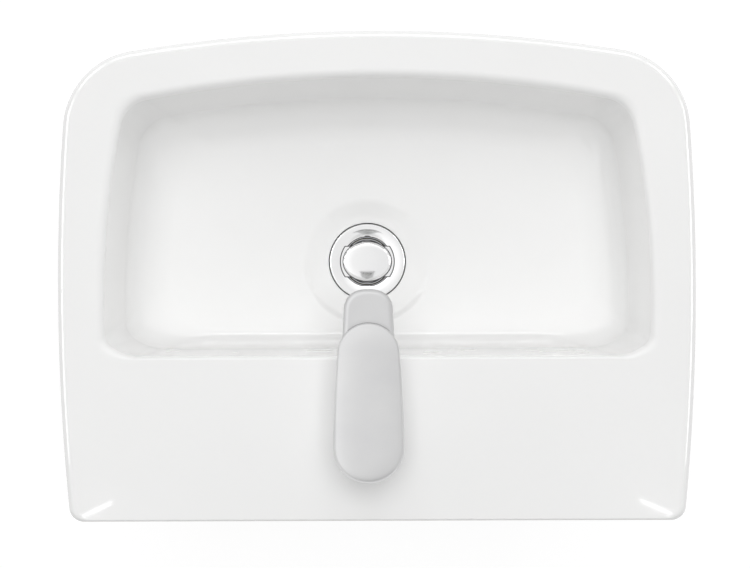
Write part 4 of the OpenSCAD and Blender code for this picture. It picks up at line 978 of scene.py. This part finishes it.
def floor_material():
    """Pale floor that reads as white where it is lit and keeps a light shadow.

    Seen from below it is clear.
    """
    material = bpy.data.materials.new("studio_floor")
    material.use_nodes = True
    tree = material.node_tree
    tree.nodes.clear()
    link = tree.links.new
    out = tree.nodes.new("ShaderNodeOutputMaterial")
    plain = tree.nodes.new("ShaderNodeBsdfDiffuse")
    plain.inputs["Color"].default_value = (0.85, 0.85, 0.85, 1)
    dim = tree.nodes.new("ShaderNodeBsdfDiffuse")
    dim.inputs["Color"].default_value = (0.3, 0.3, 0.3, 1)
    glow = tree.nodes.new("ShaderNodeEmission")
    glow.inputs["Strength"].default_value = FLOOR_GLOW
    seen = tree.nodes.new("ShaderNodeAddShader")
    link(dim.outputs[0], seen.inputs[0])
    link(glow.outputs[0], seen.inputs[1])
    rays = tree.nodes.new("ShaderNodeLightPath")
    direct = combine_values(tree, rays.outputs["Is Camera Ray"], rays.outputs["Is Glossy Ray"],
                            "ADD")
    direct = combine_values(tree, direct, rays.outputs["Is Transmission Ray"], "ADD")
    pick = tree.nodes.new("ShaderNodeMixShader")
    link(direct, pick.inputs[0])
    link(plain.outputs[0], pick.inputs[1])
    link(seen.outputs[0], pick.inputs[2])
    side = tree.nodes.new("ShaderNodeNewGeometry")
    clear = tree.nodes.new("ShaderNodeBsdfTransparent")
    top_only = tree.nodes.new("ShaderNodeMixShader")
    link(side.outputs["Backfacing"], top_only.inputs[0])
    link(pick.outputs[0], top_only.inputs[1])
    link(clear.outputs[0], top_only.inputs[2])
    link(top_only.outputs[0], out.inputs["Surface"])
    return material


def make_floor():
    mesh = bpy.data.meshes.new("studio_floor")
    corners = [(-1, -1), (1, -1), (1, 1), (-1, 1)]
    mesh.from_pydata([(x * FLOOR_HALF, y * FLOOR_HALF, FLOOR_Z) for x, y in corners], [],
                     [(0, 1, 2, 3)])
    floor = place_in_scene("studio_floor", mesh)
    wear(floor, floor_material())


def area_lamp(name, size):
    light = bpy.data.lights.new(name, "AREA")
    light.shape = "RECTANGLE"
    light.size, light.size_y = size
    lamp = place_in_scene(name, light)
    lamp.rotation_mode = "QUATERNION"
    return lamp, light


def make_lamp(name, place, size, power):
    """A soft lamp that lights the basin but isn't mirrored in it."""
    lamp, light = area_lamp(name, size)
    light.energy = power
    lamp.visible_glossy = False
    lamp.location = place
    lamp.rotation_quaternion = (CENTRE - Vector(place)).to_track_quat("-Z", "Y")


def make_strip(name, place, towards, along, size, spread_angle, radiance):
    """A gridded strip, long in one direction, that shows only as a highlight in gloss."""
    lamp, light = area_lamp(name, size)
    light.spread = math.radians(spread_angle)
    half = light.spread / 2
    light.energy = radiance * math.pi * size[0] * size[1] * (1 - half / math.tan(half))
    lamp.visible_camera = False
    lamp.visible_diffuse = False
    lamp.visible_transmission = False
    back = (Vector(place) - Vector(towards)).normalized()
    up = back.cross(Vector(along)).normalized()
    lamp.location = place
    lamp.rotation_quaternion = Matrix((up.cross(back), up, back)).transposed().to_quaternion()


def make_world():
    """A white surround for the camera, with other strengths for gloss and for all other light.

    The light on the surfaces comes from all round, and most of it from the front.
    """
    world = bpy.data.worlds.new("studio")
    world.use_nodes = True
    bpy.context.scene.world = world
    tree = world.node_tree
    link = tree.links.new
    backdrop = tree.nodes["Background"]
    backdrop.inputs["Color"].default_value = (1, 1, 1, 1)
    rays = tree.nodes.new("ShaderNodeLightPath")
    direct = combine_values(tree, rays.outputs["Is Camera Ray"],
                            rays.outputs["Is Transmission Ray"], "ADD")
    coords = tree.nodes.new("ShaderNodeTexCoord")
    way = tree.nodes.new("ShaderNodeSeparateXYZ")
    link(coords.outputs["Generated"], way.inputs[0])
    x, y, z = (way.outputs[axis] for axis in "XYZ")
    light = total(tree, combine_values(tree, x, x, "MULTIPLY"), SIDE_LIGHT,
                  spread(tree, y, FRONT_LIGHT, BACK_LIGHT, -1, 1))
    light = choice(tree, spread(tree, z, 0, 1, 0, 1), light, TOP_LIGHT)
    mirrored = spread(tree, size_of(tree, x), MIRROR_TOP, MIRROR_SIDE, 0.1, 0.8)
    mirrored = total(tree, x, MIRROR_LEFT, mirrored)
    mirrored = total(tree, spread(tree, y, MIRROR_FRONT, 0, -0.75, -0.3), 1, mirrored)
    mirrored = total(tree, spread(tree, y, 0, MIRROR_BACK, 0.5, 0.9), 1, mirrored)
    mirrored = choice(tree, spread(tree, z, 0, 1, 0.15, 0.5), MIRROR_HORIZON, mirrored)
    seen = choice(tree, rays.outputs["Is Glossy Ray"], light, mirrored)
    link(choice(tree, direct, seen, 1.0), backdrop.inputs["Strength"])


def make_camera():
    """Looks straight down, with the front of the basin at the top of the picture."""
    data = bpy.data.cameras.new("camera")
    data.sensor_width = 36
    data.lens = 137.1
    data.shift_x = 0.02285
    data.clip_end = 100
    camera = place_in_scene("camera", data)
    camera.location = (0.01675, -0.2078, 2.56)
    camera.rotation_euler = (0, 0, math.pi - math.radians(0.18))
    bpy.context.scene.camera = camera


def make_corner_strips():
    """They draw the short bright line across each back corner of the deck."""
    for name, place, deck_x, along in [
        ("left_corner_strip", (0.5655, 0.2644, 3.56), 0.245, (0.061, 0.030, 0)),
        ("right_corner_strip", (-0.6074, 0.2630, 3.56), -0.243, (0.061, -0.0283, 0)),
    ]:
        make_strip(name, place, (deck_x, -0.012, 0.06), along, (0.068, 0.009), 6, 12)


def make_rim_strips():
    """They stand round the rim, a little outside and above it, and draw its edge's bright line.

    facing is the angle at which a strip stands out from the rim.
    """
    for name, x, y, facing, length in [
        ("left_strip", 0.279, -0.19, 0, 0.34), ("left_low_strip", 0.262, -0.35, 15, 0.14),
        ("left_mid_strip", 0.245, -0.39, 45, 0.14), ("left_front_strip", 0.21, -0.41, 75, 0.14),
        ("front_strip", 0, -0.43, 90, 0.42), ("right_front_strip", -0.21, -0.41, 105, 0.14),
        ("right_mid_strip", -0.245, -0.39, 135, 0.14),
        ("right_low_strip", -0.262, -0.35, 165, 0.14), ("right_strip", -0.279, -0.19, 180, 0.34),
    ]:
        out = Vector((math.cos(math.radians(facing)), -math.sin(math.radians(facing)), 0))
        edge = Vector((x, y, RIM_Z * MM))
        place = edge + out * 0.2 + Vector((0, 0, 0.15))
        make_strip(name, place, edge, (out.y, -out.x, 0), (length, 0.085), 24, 11)


make_floor()
make_world()
make_lamp("top_lamp", (-0.05, -0.6, 4.95), (1.8, 1.8), 103)
make_lamp("front_lamp", (0, -2.8, 4.0), (2.4, 1.6), 21)
make_corner_strips()
make_rim_strips()
make_camera()
bpy.context.scene.view_settings.view_transform = "Standard"
